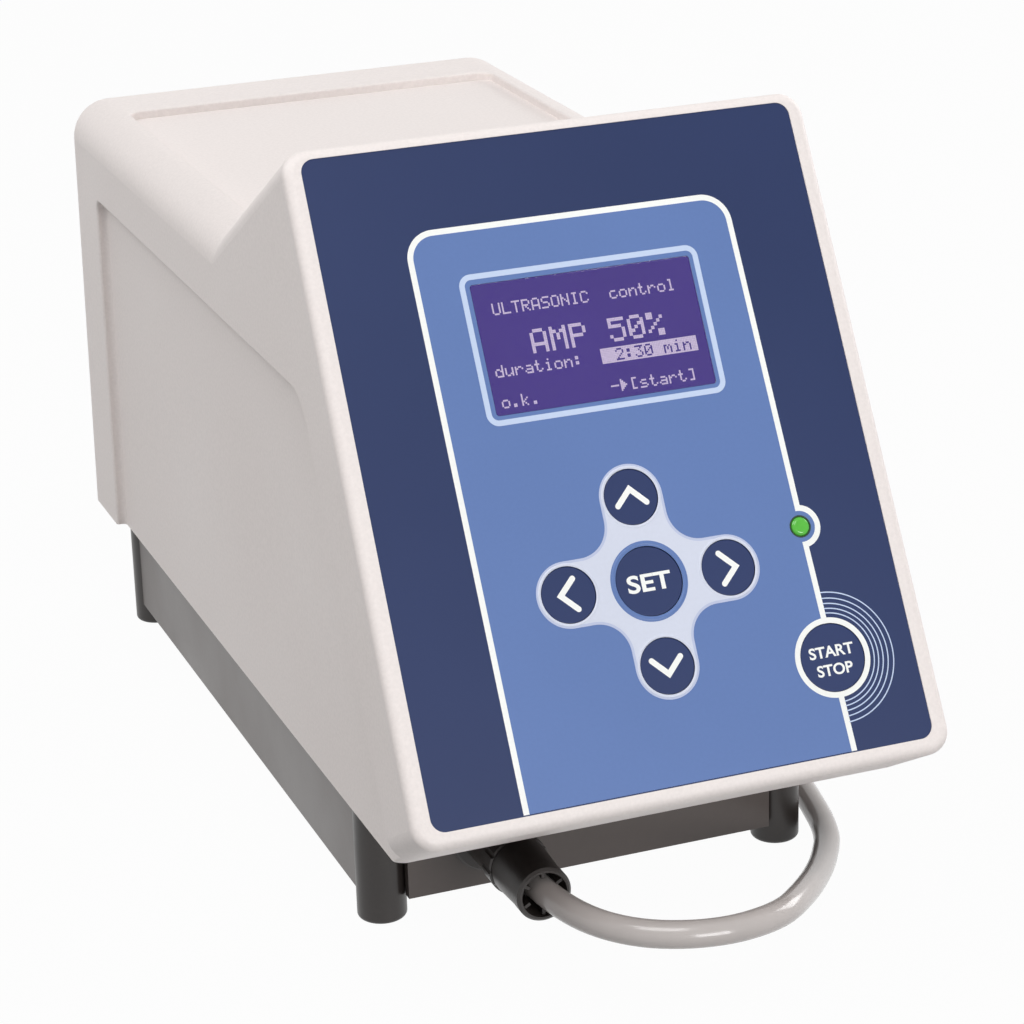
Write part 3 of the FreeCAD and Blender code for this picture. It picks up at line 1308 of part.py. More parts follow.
def transformer_core():
    """Output transformer core: a closed frame with a middle leg."""
    w = CORE_WIDTH / 2
    d = CORE_DEEP / 2
    core = box(CORE_X - w, CORE_X + w, CORE_Y - d, CORE_Y + d, BOARD_TOP, BOARD_TOP + CORE_HIGH)
    inner = w - CORE_LEG
    for side in (-1, 1):
        x0 = CORE_X + side * CORE_LEG
        x1 = CORE_X + side * inner
        z0 = BOARD_TOP + CORE_LEG
        z1 = BOARD_TOP + CORE_HIGH - CORE_LEG
        window = box(min(x0, x1), max(x0, x1), CORE_Y - d - 1, CORE_Y + d + 1, z0, z1)
        core = core.cut(window)
    return core


def transformer_winding():
    """Winding round the middle leg of the core."""
    reach = CORE_WIDTH / 2 - CORE_LEG - 0.3
    low = BOARD_TOP + CORE_LEG
    high = BOARD_TOP + CORE_HIGH - CORE_LEG
    deep = CORE_DEEP + 2 * (reach - CORE_LEG)
    coil = rounded_plate(2 * reach, deep, 6, high - low)
    coil.translate(V(CORE_X, CORE_Y, high))
    d = CORE_DEEP / 2
    leg = box(CORE_X - CORE_LEG, CORE_X + CORE_LEG, CORE_Y - d, CORE_Y + d, low - 1, high + 1)
    return coil.cut(leg)


def tuning_choke():
    """Ring choke lying on the board."""
    centre = V(CHOKE_X, CHOKE_Y, BOARD_TOP + CHOKE_THICK)
    return Part.makeTorus(CHOKE_RADIUS, CHOKE_THICK, centre, Z_AXIS)


def filter_capacitors():
    """Row of capacitor cans with a rolled groove."""
    made = []
    start = -CAN_PITCH * (CAN_COUNT - 1) / 2
    r = CAN_RADIUS
    profile = [
        (0, 0),
        (0, r),
        (4, r),
        (5, r - 0.8),
        (6, r),
        (CAN_HIGH - 1, r),
        (CAN_HIGH, r - 1),
        (CAN_HIGH, 0),
    ]
    for i in range(CAN_COUNT):
        made.append(revolved(profile, V(start + i * CAN_PITCH, CAN_Y, BOARD_TOP), Z_AXIS))
    return group(made)


def hf_cable_coil():
    """Outer shape of the neat coil that holds the rest of the lead."""
    half = COIL_TURNS_WIDE * CABLE_RADIUS
    high = COIL_LAYERS * 2 * CABLE_RADIUS
    outer = rod(V(COIL_X, COIL_Y, 0.2), Z_AXIS, COIL_MID + half, high)
    inner = rod(V(COIL_X, COIL_Y, -1), Z_AXIS, COIL_MID - half, high + 3)
    return outer.cut(inner)


def cable_end_heading():
    """Direction of the lead where it enters its far connector, kept level."""
    before = V(*CABLE_END_ROUTE[-2])
    last = V(*CABLE_END_ROUTE[-1])
    return (last - before).normalize()


def far_connector():
    """Moulded connector on the far end of the lead, with a tapered sleeve and a nose."""
    profile = [
        (0, 0),
        (0, CABLE_RADIUS + 1.2),
        (12, END_RADIUS - 1.6),
        (14, END_RADIUS),
        (END_LONG - 1, END_RADIUS),
        (END_LONG, END_RADIUS - 1),
        (END_LONG, END_NOSE_RADIUS),
        (END_LONG + END_NOSE_LONG, END_NOSE_RADIUS),
        (END_LONG + END_NOSE_LONG, END_NOSE_RADIUS - 1.2),
        (END_LONG + 2, END_NOSE_RADIUS - 1.2),
        (END_LONG + 2, 0),
    ]
    return revolved(profile, V(*CABLE_END_ROUTE[-1]), cable_end_heading())


def far_contacts():
    """Contact pins in the nose of the far connector."""
    made = []
    for i in range(3):
        a = math.radians(120 * i + 90)
        pin = rod(V(3 * math.cos(a), 3 * math.sin(a), END_LONG + 2), Z_AXIS, 0.8, END_NOSE_LONG - 3)
        turn = FreeCAD.Rotation(Z_AXIS, cable_end_heading())
        pin.Placement = FreeCAD.Placement(V(*CABLE_END_ROUTE[-1]), turn).multiply(pin.Placement)
        made.append(pin)
    return group(made)


def build():
    """All pieces by name, and the names of those that belong to the lead."""
    pieces = {"housing_shell": housing_shell(), "chassis_tray": chassis_tray()}
    sides = {-FOOT_X: "left", FOOT_X: "right"}
    ends = {FOOT_FRONT: "front", FOOT_BACK: "back"}
    for x, y in foot_places():
        pieces["foot_%s_%s" % (ends[y], sides[x])] = foot(x, y)
    for name, x, v, radius in key_places():
        pieces[name] = key(x, v, radius)
    pieces["foot_screws"] = foot_screws()
    pieces["flange_screws"] = flange_screws()
    pieces["keypad_overlay"] = keypad_overlay()
    pieces["keypad_board"] = keypad_board()
    pieces["key_switches"] = key_switches()
    pieces["keypad_board_screws"] = face_screws(key_board_holes(), KEY_BOARD_H - BOARD_THICK)
    pieces["status_led"] = status_led()
    pieces["display_window"] = display_window()
    pieces["display_glass"] = display_glass()
    pieces["display_bezel"] = display_bezel()
    pieces["display_board"] = display_board()
    pieces["display_screws"] = face_screws(module_holes(), -FACE_BACK - BEZEL_THICK - BOARD_THICK)
    pieces["ribbon_cable"] = ribbon_cable()
    pieces["ribbon_sockets"] = ribbon_plugs()
    pieces["back_panel"] = back_panel()
    pieces["back_panel_screws"] = back_screws()
    pieces["mains_inlet"] = mains_inlet()
    pieces["mains_inlet_pins"] = inlet_pins()
    pieces["mains_inlet_screws"] = inlet_screws()
    pieces["fuse_drawer"] = fuse_drawer()
    pieces["fuses"] = fuses()
    pieces["power_switch_frame"] = switch_frame()
    pieces["power_rocker"] = power_rocker()
    pieces["footswitch_jack"] = footswitch_jack()
    pieces["hf_socket"] = hf_socket()
    pieces["hf_socket_nut"] = hf_socket_nut()
    pieces["main_board"] = main_board()
    pieces["board_standoffs"] = standoffs()
    pieces["board_screws"] = board_screws()
    pieces["heat_sink"] = heat_sink()
    pieces["power_transistors"] = power_transistors()
    pieces["transformer_core"] = transformer_core()
    pieces["transformer_winding"] = transformer_winding()
    pieces["tuning_choke"] = tuning_choke()
    pieces["filter_capacitors"] = filter_capacitors()
    coil = hf_cable_coil()
    plug = hf_plug_body()
    lead_pieces = {
        "hf_plug_body": plug,
        "plug_coupling_ring": plug_coupling_ring(),
        "plug_contacts": plug_contacts(),
        "hf_cable": lead(CABLE_ROUTE, CABLE_RADIUS).cut(plug).cut(coil),
        "hf_cable_coil": coil,
        "hf_cable_end": lead(CABLE_END_ROUTE, CABLE_RADIUS).cut(coil),
        "far_connector": far_connector(),
        "far_connector_contacts": far_contacts(),
    }
    return pieces, lead_pieces


def main():
    """Builds every piece, centres the standing body on the origin and writes the files."""
    pieces, lead_pieces = build()
    body = Part.makeCompound(list(pieces.values())).optimalBoundingBox(False, False)
    shift = V(0, -(body.YMin + body.YMax) / 2, 0)
    print("body %.1f x %.1f x %.1f, shift %.3f" % (body.XLength, body.YLength, body.ZLength, shift.y))
    os.makedirs("parts", exist_ok=True)
    for name, shape in {**pieces, **lead_pieces}.items():
        placed = shape.copy()
        placed.translate(shift)
        if not placed.isValid() or placed.Volume < 0.5:
            print("check", name, placed.isValid(), placed.Volume)
        placed.exportStep("parts/%s.step" % name)


main()
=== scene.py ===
"""Looks of the desk generator of an ultrasonic homogenizer: finishes, printed face, display, lead and stage."""

import math

import bmesh
import bpy
from mathutils import Euler, Matrix, Vector
from mathutils.geometry import tessellate_polygon


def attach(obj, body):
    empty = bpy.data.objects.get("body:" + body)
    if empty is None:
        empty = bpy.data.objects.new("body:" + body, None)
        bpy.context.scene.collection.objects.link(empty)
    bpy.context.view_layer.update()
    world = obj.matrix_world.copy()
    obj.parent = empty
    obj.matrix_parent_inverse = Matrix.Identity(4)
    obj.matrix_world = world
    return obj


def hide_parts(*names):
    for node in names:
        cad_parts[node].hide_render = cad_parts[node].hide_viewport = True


bl_info = {
    "name": "Homogenizer Generator",
    "version": (1, 0, 0),
    "blender": (4, 5, 0),
    "location": "View3D > Sidebar > Generator",
    "description": "Finishes, printed face, display, lead and stage of a desk generator",
    "category": "Object",
}

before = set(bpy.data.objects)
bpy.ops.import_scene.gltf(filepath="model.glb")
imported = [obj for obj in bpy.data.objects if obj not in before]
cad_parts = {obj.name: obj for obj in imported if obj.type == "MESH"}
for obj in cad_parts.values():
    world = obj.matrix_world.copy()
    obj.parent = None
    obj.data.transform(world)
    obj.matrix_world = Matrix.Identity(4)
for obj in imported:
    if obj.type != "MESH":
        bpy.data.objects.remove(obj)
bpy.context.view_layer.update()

MM = 0.001
BODY = "generator"

# The console face: the place of its lower edge, its lean, and the middles of what is on it, in millimetres
# (x across the face, y up it, z out of it)
FOOT_Y = -189.131
FOOT_Z = 69.5
FACE_LEAN = math.radians(30.2)
FACE = Matrix.Translation(Vector((0.0, FOOT_Y, FOOT_Z)) * MM) @ Matrix.Rotation(math.pi / 2 - FACE_LEAN, 4, "X")
KEY_PAD = (0.8, 60.9)
KEY_PITCH = 25.6
ARROWS = (("right", 1, 0), ("up", 0, 1), ("left", -1, 0), ("down", 0, -1))
START_KEY = (53.1, 28.9)
LAMP = (52.1, 69.4)
DISPLAY = (0.3, 136.4)

# The light blue field: top edge of its white line, place of the line at the sides, how far the right one leans out
# towards its foot, the field's lower edge, and the bays that it makes round the start key and the lamp, as radii
FIELD_TOP = 174.6
FIELD_SIDE = 51.3
FIELD_LEAN = 2.1
FIELD_FOOT = 0.4
START_BAY = 11.3
LAMP_BAY = 5.65

# Openings in the printed layers and the outside of the rings, as radii, and the width of the pad's edge
SET_HOLE = 10.55
ARROW_HOLE = 8.55
START_HOLE = 10.45
LAMP_HOLE = 2.95
RING_OUTSIDE = 12.15
PAD_EDGE = 0.8

# Beads embossed in the film: radius of the middle, width, height
SET_BEAD = (11.35, 1.2, 0.3)
ARROW_BEAD = (9.05, 0.85, 0.28)
LAMP_BEAD = (3.2, 0.55, 0.2)

# Thin arcs beside the start key, as radii
START_ARCS = (13.5, 14.9, 16.4, 18.0, 19.8)
START_ARC_WIDTH = 0.36

# The display's window (half its width, half its height, corner) and the pale line round it (left, right, bottom, top)
WINDOW = (35.35, 20.05, 1.0)
DISPLAY_LINE = (-38.2, 38.6, 113.4, 159.7)
DISPLAY_LINE_CORNER = 3.8
DISPLAY_LINE_WIDTH = 1.7

# An arrow key's sign: corners of a chevron that points right, and its stroke
CHEVRON = ((-2.2, 4.6), (2.45, 0.0), (-2.2, -4.6))
CHEVRON_STROKE = 1.75
# Words on the keys: text, middle, base line, height and width of the capitals, key
WORDS = {
    "word_set": ("SET", KEY_PAD[0], 57.9, 5.4, 14.0, "key_set"),
    "word_start": ("START", START_KEY[0], 29.15, 3.5, 14.6, "key_start_stop"),
    "word_stop": ("STOP", START_KEY[0], 23.6, 3.5, 11.7, "key_start_stop"),
}
# What thickens the strokes of the words, as a share of the letters' size
LETTER_WEIGHT = 0.024

# The camera's place in metres, its turn in degrees and its sensor in millimetres
CAMERA_PLACE = (-0.34472, -0.96964, 0.47813)
CAMERA_TURN = (69.2848, 1.6163, -21.0999)
SENSOR_WIDTH = 36.0

# Softboxes and floor, in metres: the side that each softbox stands at and its place, and what they look at
SOFTBOXES = (
    ("left", (-1.3, 0.3, 1.6)),
    ("top", (-0.3, -1.0, 2.0)),
    ("front", (0.5, -2.25, 0.35)),
    ("back", (1.7, 0.5, 0.8)),
)
SOFTBOX_SIZE = 1.0
LIGHT_AIM = Vector((0.0, -0.1, 0.12))
FLOOR_HALF = 6.0
FLOOR_DROP = 0.0002
WHITE = (1.0, 1.0, 1.0, 1.0)
# Share of the floor's look that is its own even white
PAPER_SHARE = 0.97


def linear(code):
    """Linear colour of an sRGB hex code."""
    parts = [int(code[i : i + 2], 16) / 255 for i in (0, 2, 4)]
    return tuple(c / 12.92 if c <= 0.04045 else ((c + 0.055) / 1.055) ** 2.4 for c in parts)


# ---------------------------------------------------------------- settings


def colour_setting(label, text, code):
    """A colour in the sidebar, with its default from a hex code."""
    return bpy.props.FloatVectorProperty(
        name=label, description=text, subtype="COLOR", size=3, min=0.0, max=1.0, default=linear(code)
    )


def length_setting(label, text, millimetres):
    """A length in the sidebar, with its default in millimetres."""
    return bpy.props.FloatProperty(
        name=label, description=text, subtype="DISTANCE", unit="LENGTH", min=0.0, default=millimetres * MM
    )


def power_setting(label, text, watts):
    """A lamp's power in the sidebar, with its default in watts."""
    return bpy.props.FloatProperty(
        name=label, description=text, subtype="POWER", unit="POWER", min=0.0, default=watts
    )


class GeneratorColours(bpy.types.PropertyGroup):
    """Colours of the housing, the printed face and the lead."""

    housing: colour_setting("Housing", "Light grey of the moulded housing", "EAE2DF")
    back_panel: colour_setting("Back panel", "Paint of the sheet-metal back panel", "D6CFCC")
    chassis: colour_setting("Chassis", "Paint of the sheet-metal tray", "5A524F")
    feet: colour_setting("Feet", "Black of the feet", "2A2523")
    film: colour_setting("Film", "Dark blue ground of the face film", "192B57")
    field: colour_setting("Field", "Light blue field of the face film", "5E79B0")
    pad: colour_setting("Key pad", "Pale cross behind the arrow keys", "D3D8E8")
    pad_edge: colour_setting("Pad edge", "Edge of the pale cross", "BDC5DF")
    line: colour_setting("Lines", "White lines and signs", "F6F7F4")
    display_line: colour_setting("Display line", "Pale line round the display", "C4D3EE")
    key: colour_setting("Keys", "Dark blue of the key caps", "1A2C5A")
    display: colour_setting("Display", "Violet of the lit display", "3C2780")
    dots: colour_setting("Dots", "Lit dots of the display", "CDBEDC")
    lamp: colour_setting("Lamp", "Green of the lit lamp", "4AA82E")
    plug: colour_setting("Plug", "Black of the plug and its ring", "2C2725")
    lead: colour_setting("Lead", "Light grey of the lead's jacket", "BEB7B4")


class GeneratorSizes(bpy.types.PropertyGroup):
    """Sizes of the prints on the face and of the lead."""

    line_width: length_setting("Line width", "White line round the light blue field", 1.8)
    field_corner: length_setting("Field corner", "Outer corner radius of the field's line", 9.1)
    pad_lobe: length_setting("Pad lobe", "Radius of the pale pad round an arrow key", 10.0)
    pad_fillet: length_setting("Pad fillet", "Hollow corner between two arms of the pad", 9.6)
    print_step: length_setting("Print step", "Height of one printed layer over the next", 0.04)
    dot_pitch: length_setting("Dot pitch", "Spacing of the display's dots", 0.52)
    lead_diameter: length_setting("Lead diameter", "Outer diameter of the lead", 8.6)
    coil_radius: length_setting("Coil radius", "Middle radius of the wound-up lead", 47.0)


class GeneratorStage(bpy.types.PropertyGroup):
    """Camera, light and floor."""

    lens: bpy.props.FloatProperty(
        name="Lens",
        description="Focal length on a 36 mm wide sensor",
        subtype="DISTANCE_CAMERA",
        unit="CAMERA",
        min=10.0,
        default=113.35,
    )
    left_power: power_setting("Left light", "Power of the softbox high at the left", 16.5)
    top_power: power_setting("Top light", "Power of the softbox above the front", 17.5)
    front_power: power_setting("Front light", "Power of the low softbox in front", 25.0)
    back_power: power_setting("Back light", "Power of the softbox behind at the right", 15.0)
    world_strength: bpy.props.FloatProperty(
        name="Room light",
        description="Strength of the even light from all round",
        subtype="FACTOR",
        min=0.0,
        max=1.0,
        default=0.22,
    )
    floor_grey: bpy.props.FloatProperty(
        name="Floor",
        description="Share of the light that the floor gives back to the object",
        subtype="FACTOR",
        min=0.0,
        max=1.0,
        default=0.35,
    )


# ---------------------------------------------------------------- materials


def add_node(tree, kind, settings=None, links=None):
    """Adds a node, gives it its settings (attributes or sockets) and links outputs to its sockets."""
    node = tree.nodes.new(kind)
    for name, value in (settings or {}).items():
        if isinstance(name, str) and hasattr(node, name):
            setattr(node, name, value)
        else:
            node.inputs[name].default_value = value
    for name, source in (links or {}).items():
        tree.links.new(source, node.inputs[name])
    return node


def new_finish(name, tint, settings):
    """A material with one principled shader and its constant values."""
    material = bpy.data.materials.new(name)
    material.use_nodes = True
    tree = material.node_tree
    tree.nodes.clear()
    shader = add_node(tree, "ShaderNodeBsdfPrincipled", {"Base Color": (*tint, 1.0), **settings})
    add_node(tree, "ShaderNodeOutputMaterial", links={"Surface": shader.outputs[0]})
    material.diffuse_color = (*tint, 1.0)
    return material, tree, shader


# Blender's noise stays between these two values
NOISE_SPAN = {"From Min": 0.3, "From Max": 0.7}


def noise_scale(millimetres):
    """Scale at which a noise has patches of that size: one step of it holds two."""
    return 0.5 / (millimetres * MM)


def surfaced(name, tint, settings, grain, cloud, stretch=(1.0, 1.0, 1.0)):
    """A material whose fine grain raises and flecks it, and whose slow cloud shifts its colour and its gloss.

    The grain is its size and depth in millimetres and the share it lightens or darkens by. The cloud is its size in
    millimetres, its own such share, and the lowest and highest roughness. The grain may be squeezed along an axis.
    """
    grain_size, depth, fleck = grain
    cloud_size, shift, low, high = cloud
    material, tree, shader = new_finish(name, tint, settings)
    place = add_node(tree, "ShaderNodeTexCoord").outputs["Object"]
    drawn = add_node(tree, "ShaderNodeMapping", {"Scale": stretch}, {"Vector": place}).outputs[0]
    fine = add_node(
        tree, "ShaderNodeTexNoise", {"Scale": noise_scale(grain_size), "Detail": 2.0}, {"Vector": drawn}
    ).outputs[0]
    slow = add_node(
        tree, "ShaderNodeTexNoise", {"Scale": noise_scale(cloud_size), "Detail": 3.0}, {"Vector": place}
    ).outputs[0]
    raised = add_node(tree, "ShaderNodeBump", {"Strength": 0.5, "Distance": depth * MM}, {"Height": fine})
    tree.links.new(raised.outputs[0], shader.inputs["Normal"])
    gloss = add_node(tree, "ShaderNodeMapRange", {**NOISE_SPAN, "To Min": low, "To Max": high}, {"Value": slow})
    tree.links.new(gloss.outputs[0], shader.inputs["Roughness"])
    flecks = add_node(
        tree, "ShaderNodeMapRange", {**NOISE_SPAN, "To Min": 1 - fleck, "To Max": 1 + fleck}, {"Value": fine}
    )
    clouds = add_node(
        tree, "ShaderNodeMapRange", {**NOISE_SPAN, "To Min": 1 - shift, "To Max": 1 + shift}, {"Value": slow}
    )
    both = add_node(
        tree, "ShaderNodeMath", {"operation": "MULTIPLY"}, {0: flecks.outputs[0], 1: clouds.outputs[0]}
    )
    tinted = add_node(
        tree,
        "ShaderNodeMix",
        {"data_type": "RGBA", "blend_type": "MULTIPLY", "Factor": 1.0, 6: (*tint, 1.0)},
        {7: both.outputs[0]},
    )
    tree.links.new(tinted.outputs[2], shader.inputs["Base Color"])
    return material


def glowing(name, tint, settings, size, low, high):
    """A lit material whose glow wanders between two strengths over a size in millimetres."""
    material, tree, shader = new_finish(name, (0.0, 0.0, 0.0), settings)
    place = add_node(tree, "ShaderNodeTexCoord").outputs["Object"]
    slow = add_node(tree, "ShaderNodeTexNoise", {"Scale": noise_scale(size), "Detail": 2.0}, {"Vector": place})
    glow = add_node(
        tree, "ShaderNodeMapRange", {**NOISE_SPAN, "To Min": low, "To Max": high}, {"Value": slow.outputs[0]}
    )
    tree.links.new(glow.outputs[0], shader.inputs["Emission Strength"])
    shader.inputs["Emission Color"].default_value = (*tint, 1.0)
    return material


def moulded_housing(tint):
    """ABS, injection moulded in a spark-eroded tool: a fine even grain that takes the gloss away."""
    # the real grain is about 0.2 mm and is drawn at 0.55 mm, so that it still shows as a dusting
    return surfaced(
        "ABS_moulded_fine_grain",
        tint,
        {"IOR": 1.52},
        grain=(0.55, 0.06, 0.03),
        cloud=(45.0, 0.008, 0.46, 0.58),
    )


def powder_coat(name, tint, low, high):
    """Powder coat on sheet steel, sprayed and baked: a slight orange peel under a satin sheen."""
    return surfaced(name, tint, {"IOR": 1.5}, grain=(1.4, 0.03, 0.02), cloud=(30.0, 0.05, low, high))


def moulded_black(name, tint, low, high):
    """Filled nylon, moulded in a polished tool: near black, with soft and slightly uneven highlights."""
    return surfaced(name, tint, {"IOR": 1.53}, grain=(0.7, 0.012, 0.05), cloud=(9.0, 0.1, low, high))


def printed_film(name, tint, grain=0.6):
    """Polyester film printed from behind, with a fine anti-glare texture: even colour under a half-matt face."""
    # the texture is about 0.05 mm and is drawn at 0.6 mm; it takes most of the shine away
    return surfaced(
        name,
        tint,
        {"IOR": 1.57, "Specular IOR Level": 0.3},
        grain=(grain, 0.006, 0.012),
        cloud=(60.0, 0.035, 0.34, 0.44),
    )


def clear_window():
    """Polycarbonate pane, extruded and coated against reflections: clear, with a faint soft shine."""
    grey = (0.3, 0.3, 0.3, 1.0)
    return surfaced(
        "Polycarbonate_coated_clear_pane",
        (1.0, 1.0, 1.0),
        {"Transmission Weight": 1.0, "IOR": 1.585, "Specular Tint": grey},
        grain=(6.0, 0.001, 0.0),
        cloud=(20.0, 0.0, 0.015, 0.04),
    )


def lit_display(tint):
    """Liquid crystal lit from behind: violet ground, a little brighter where the lamps behind it sit."""
    return glowing(
        "Liquid_crystal_lit_violet", tint, {"Roughness": 0.3, "Specular IOR Level": 0.1}, 40.0, 0.92, 1.08
    )


def lit_dots(tint):
    """Dots of the liquid crystal that let the light through: pale, and not quite equal."""
    return glowing("Liquid_crystal_clear_dots", tint, {"Roughness": 0.4, "Specular IOR Level": 0.1}, 0.5, 0.88, 1.0)


def lit_lamp(tint):
    """Cast epoxy lamp, lit: a clear dome that glows green inside and shines on its crown."""
    settings = {"Base Color": (*tint, 1.0), "Roughness": 0.12, "IOR": 1.54}
    return glowing("Epoxy_lamp_lit_green", tint, settings, 1.2, 0.2, 0.32)


def soft_jacket(tint):
    """PVC jacket, extruded: smooth, slightly greasy shine with faint dull patches from handling."""
    return surfaced(
        "PVC_jacket_light_grey", tint, {"IOR": 1.53}, grain=(1.5, 0.02, 0.012), cloud=(14.0, 0.03, 0.12, 0.22)
    )


def plated_metal(name, tint, low, high, stretch=(1.0, 1.0, 14.0)):
    """Metal with fine working marks along it, which draw its reflections out."""
    settings = {"Metallic": 1.0}
    return surfaced(name, tint, settings, grain=(0.8, 0.01, 0.02), cloud=(6.0, 0.06, low, high), stretch=stretch)


def circuit_board():
    """Glass-fibre board under green solder mask: the copper tracks show through as a lighter net."""
    tint = linear("1C6A3C")
    material, tree, shader = new_finish("Glass_fibre_board_green_mask", tint, {"Roughness": 0.35, "IOR": 1.55})
    place = add_node(tree, "ShaderNodeTexCoord").outputs["Object"]
    # blocks of tracks are about 12 mm apart
    tracks = add_node(
        tree,
        "ShaderNodeTexBrick",
        {
            "Scale": 1.0 / (12.0 * MM),
            "Mortar Size": 0.035,
            "Color1": (*tint, 1.0),
            "Color2": (*linear("185E35"), 1.0),
            "Mortar": (*linear("3F9A5C"), 1.0),
        },
        {"Vector": place},
    )
    tree.links.new(tracks.outputs["Color"], shader.inputs["Base Color"])
    # the glass cloth has a 0.5 mm weave
    weave = add_node(tree, "ShaderNodeTexNoise", {"Scale": noise_scale(0.5)}, {"Vector": place})
    raised = add_node(tree, "ShaderNodeBump", {"Strength": 0.3, "Distance": 0.01 * MM}, {"Height": weave.outputs[0]})
    tree.links.new(raised.outputs[0], shader.inputs["Normal"])
    return material


def wound_wire():
    """Enamelled copper wire, close wound: fine ribs across the winding, with painted shade in the grooves between
    turns and a painted highlight on their crowns, under a lacquered shine.
    """
    tint = linear("B4632B")
    settings = {"Metallic": 1.0, "Roughness": 0.3, "Coat Weight": 0.6, "Coat Roughness": 0.1}
    material, tree, shader = new_finish("Copper_wire_enamelled", tint, settings)
    place = add_node(tree, "ShaderNodeTexCoord").outputs["Object"]
    # one rib per turn of 1.2 mm wire; a wave repeats every 0.314 over its scale
    turns = add_node(
        tree,
        "ShaderNodeTexWave",
        {"bands_direction": "Z", "Scale": 0.314 / (1.2 * MM), "Distortion": 0.4},
        {"Vector": place},
    )
    raised = add_node(tree, "ShaderNodeBump", {"Strength": 0.8, "Distance": 0.4 * MM}, {"Height": turns.outputs[1]})
    tree.links.new(raised.outputs[0], shader.inputs["Normal"])
    # painted shade and highlight: the colour follows the ribs, darker in the grooves and lighter on the crowns
    painted_rib_shade = add_node(tree, "ShaderNodeMapRange", {"To Min": 0.8, "To Max": 1.1}, {"Value": turns.outputs[1]})
    tinted = add_node(
        tree,
        "ShaderNodeMix",
        {"data_type": "RGBA", "blend_type": "MULTIPLY", "Factor": 1.0, 6: (*tint, 1.0)},
        {7: painted_rib_shade.outputs[0]},
    )
    tree.links.new(tinted.outputs[2], shader.inputs["Base Color"])
    return material


def dress(material, *nodes):
    """Gives CAD nodes a material."""
    for name in nodes:
        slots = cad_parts[name].data.materials
        slots.clear()
        slots.append(material)


# ---------------------------------------------------------------- flat shapes, in millimetres


def arc(cx, cy, radius, start, end, steps=24):
    """Points of an arc, from a start to an end angle in degrees."""
    points = []
    for i in range(steps + 1):
        a = math.radians(start + (end - start) * i / steps)
        points.append((cx + radius * math.cos(a), cy + radius * math.sin(a)))
    return points


def circle(cx, cy, radius, steps=72):
    """Closed outline of a circle."""
    return arc(cx, cy, radius, 0, 360, steps)[:-1]


def rounded_box(x0, x1, y0, y1, radius):
    """Closed outline of a rectangle with round corners."""
    points = arc(x1 - radius, y1 - radius, radius, 0, 90, 12)
    points += arc(x0 + radius, y1 - radius, radius, 90, 180, 12)
    points += arc(x0 + radius, y0 + radius, radius, 180, 270, 12)
    return points + arc(x1 - radius, y0 + radius, radius, 270, 360, 12)


def band(points, width):
    """Closed outline of a line of that width along open points, with round ends."""
    half = width / 2
    left, right = [], []
    for i, (x, y) in enumerate(points):
        ax, ay = points[max(i - 1, 0)]
        bx, by = points[min(i + 1, len(points) - 1)]
        along = math.atan2(by - ay, bx - ax)
        reach = half
        if 0 < i < len(points) - 1:
            before = math.atan2(y - ay, x - ax)
            turn = (math.atan2(by - y, bx - x) - before + math.pi) % (2 * math.pi) - math.pi
            along = before + turn / 2
            reach = half / math.cos(turn / 2)
        nx, ny = -math.sin(along) * reach, math.cos(along) * reach
        left.append((x + nx, y + ny))
        right.append((x - nx, y - ny))
    first = math.degrees(math.atan2(points[1][1] - points[0][1], points[1][0] - points[0][0]))
    last = math.degrees(math.atan2(points[-1][1] - points[-2][1], points[-1][0] - points[-2][0]))
    tip = arc(*points[-1], half, last + 90, last - 90, 12)[1:-1]
    tail = arc(*points[0], half, first - 90, first - 270, 12)[1:-1]
    return left + tip + right[::-1] + tail


def flat_piece(name, loops, height, thick, material, body=BODY):
    """A thin sheet on the console face, from closed outlines, the first outside and the others its holes."""
    mesh = bpy.data.meshes.new(name)
    form = bmesh.new()
    flat = [[Vector((x, y, 0.0)) for x, y in loop] for loop in loops]
    top = [[form.verts.new((p.x * MM, p.y * MM, height * MM)) for p in loop] for loop in flat]
    low = [[form.verts.new((p.x * MM, p.y * MM, (height - thick) * MM)) for p in loop] for loop in flat]
    tops = [v for loop in top for v in loop]
    lows = [v for loop in low for v in loop]
    for a, b, c in tessellate_polygon(flat):
        form.faces.new((tops[a], tops[b], tops[c]))
        form.faces.new((lows[c], lows[b], lows[a]))
    for upper, lower in zip(top, low):
        for i in range(len(upper)):
            j = (i + 1) % len(upper)
            form.faces.new((upper[i], lower[i], lower[j], upper[j]))
    bmesh.ops.recalc_face_normals(form, faces=form.faces)
    form.to_mesh(mesh)
    form.free()
    return place_on_face(name, mesh, material, body)


def place_on_face(name, mesh, material, body=BODY):
    """Puts a mesh drawn flat on the console face, rides it on its body and gives it its material."""
    mesh.materials.clear()
    mesh.materials.append(material)
    piece = bpy.data.objects.new(name, mesh)
    piece.matrix_world = FACE
    bpy.context.scene.collection.objects.link(piece)
    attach(piece, body)
    return piece


def rim_bead(name, cx, cy, radius, width, high, material, steps=96, rise=8):
    """A low half-round bead embossed in the film round a key or the lamp."""
    mesh = bpy.data.meshes.new(name)
    form = bmesh.new()
    rows = []
    for i in range(steps):
        a = 2 * math.pi * i / steps
        row = []
        for j in range(rise + 1):
            b = math.pi * j / rise
            r = radius + math.cos(b) * width / 2
            point = (cx + r * math.cos(a), cy + r * math.sin(a), math.sin(b) * high)
            row.append(form.verts.new([value * MM for value in point]))
        rows.append(row)
    for i in range(steps):
        for j in range(rise):
            a, b = rows[i], rows[(i + 1) % steps]
            form.faces.new((a[j], b[j], b[j + 1], a[j + 1]))
    bmesh.ops.recalc_face_normals(form, faces=form.faces)
    for face in form.faces:
        face.smooth = True
    form.to_mesh(mesh)
    form.free()
    return place_on_face(name, mesh, material)


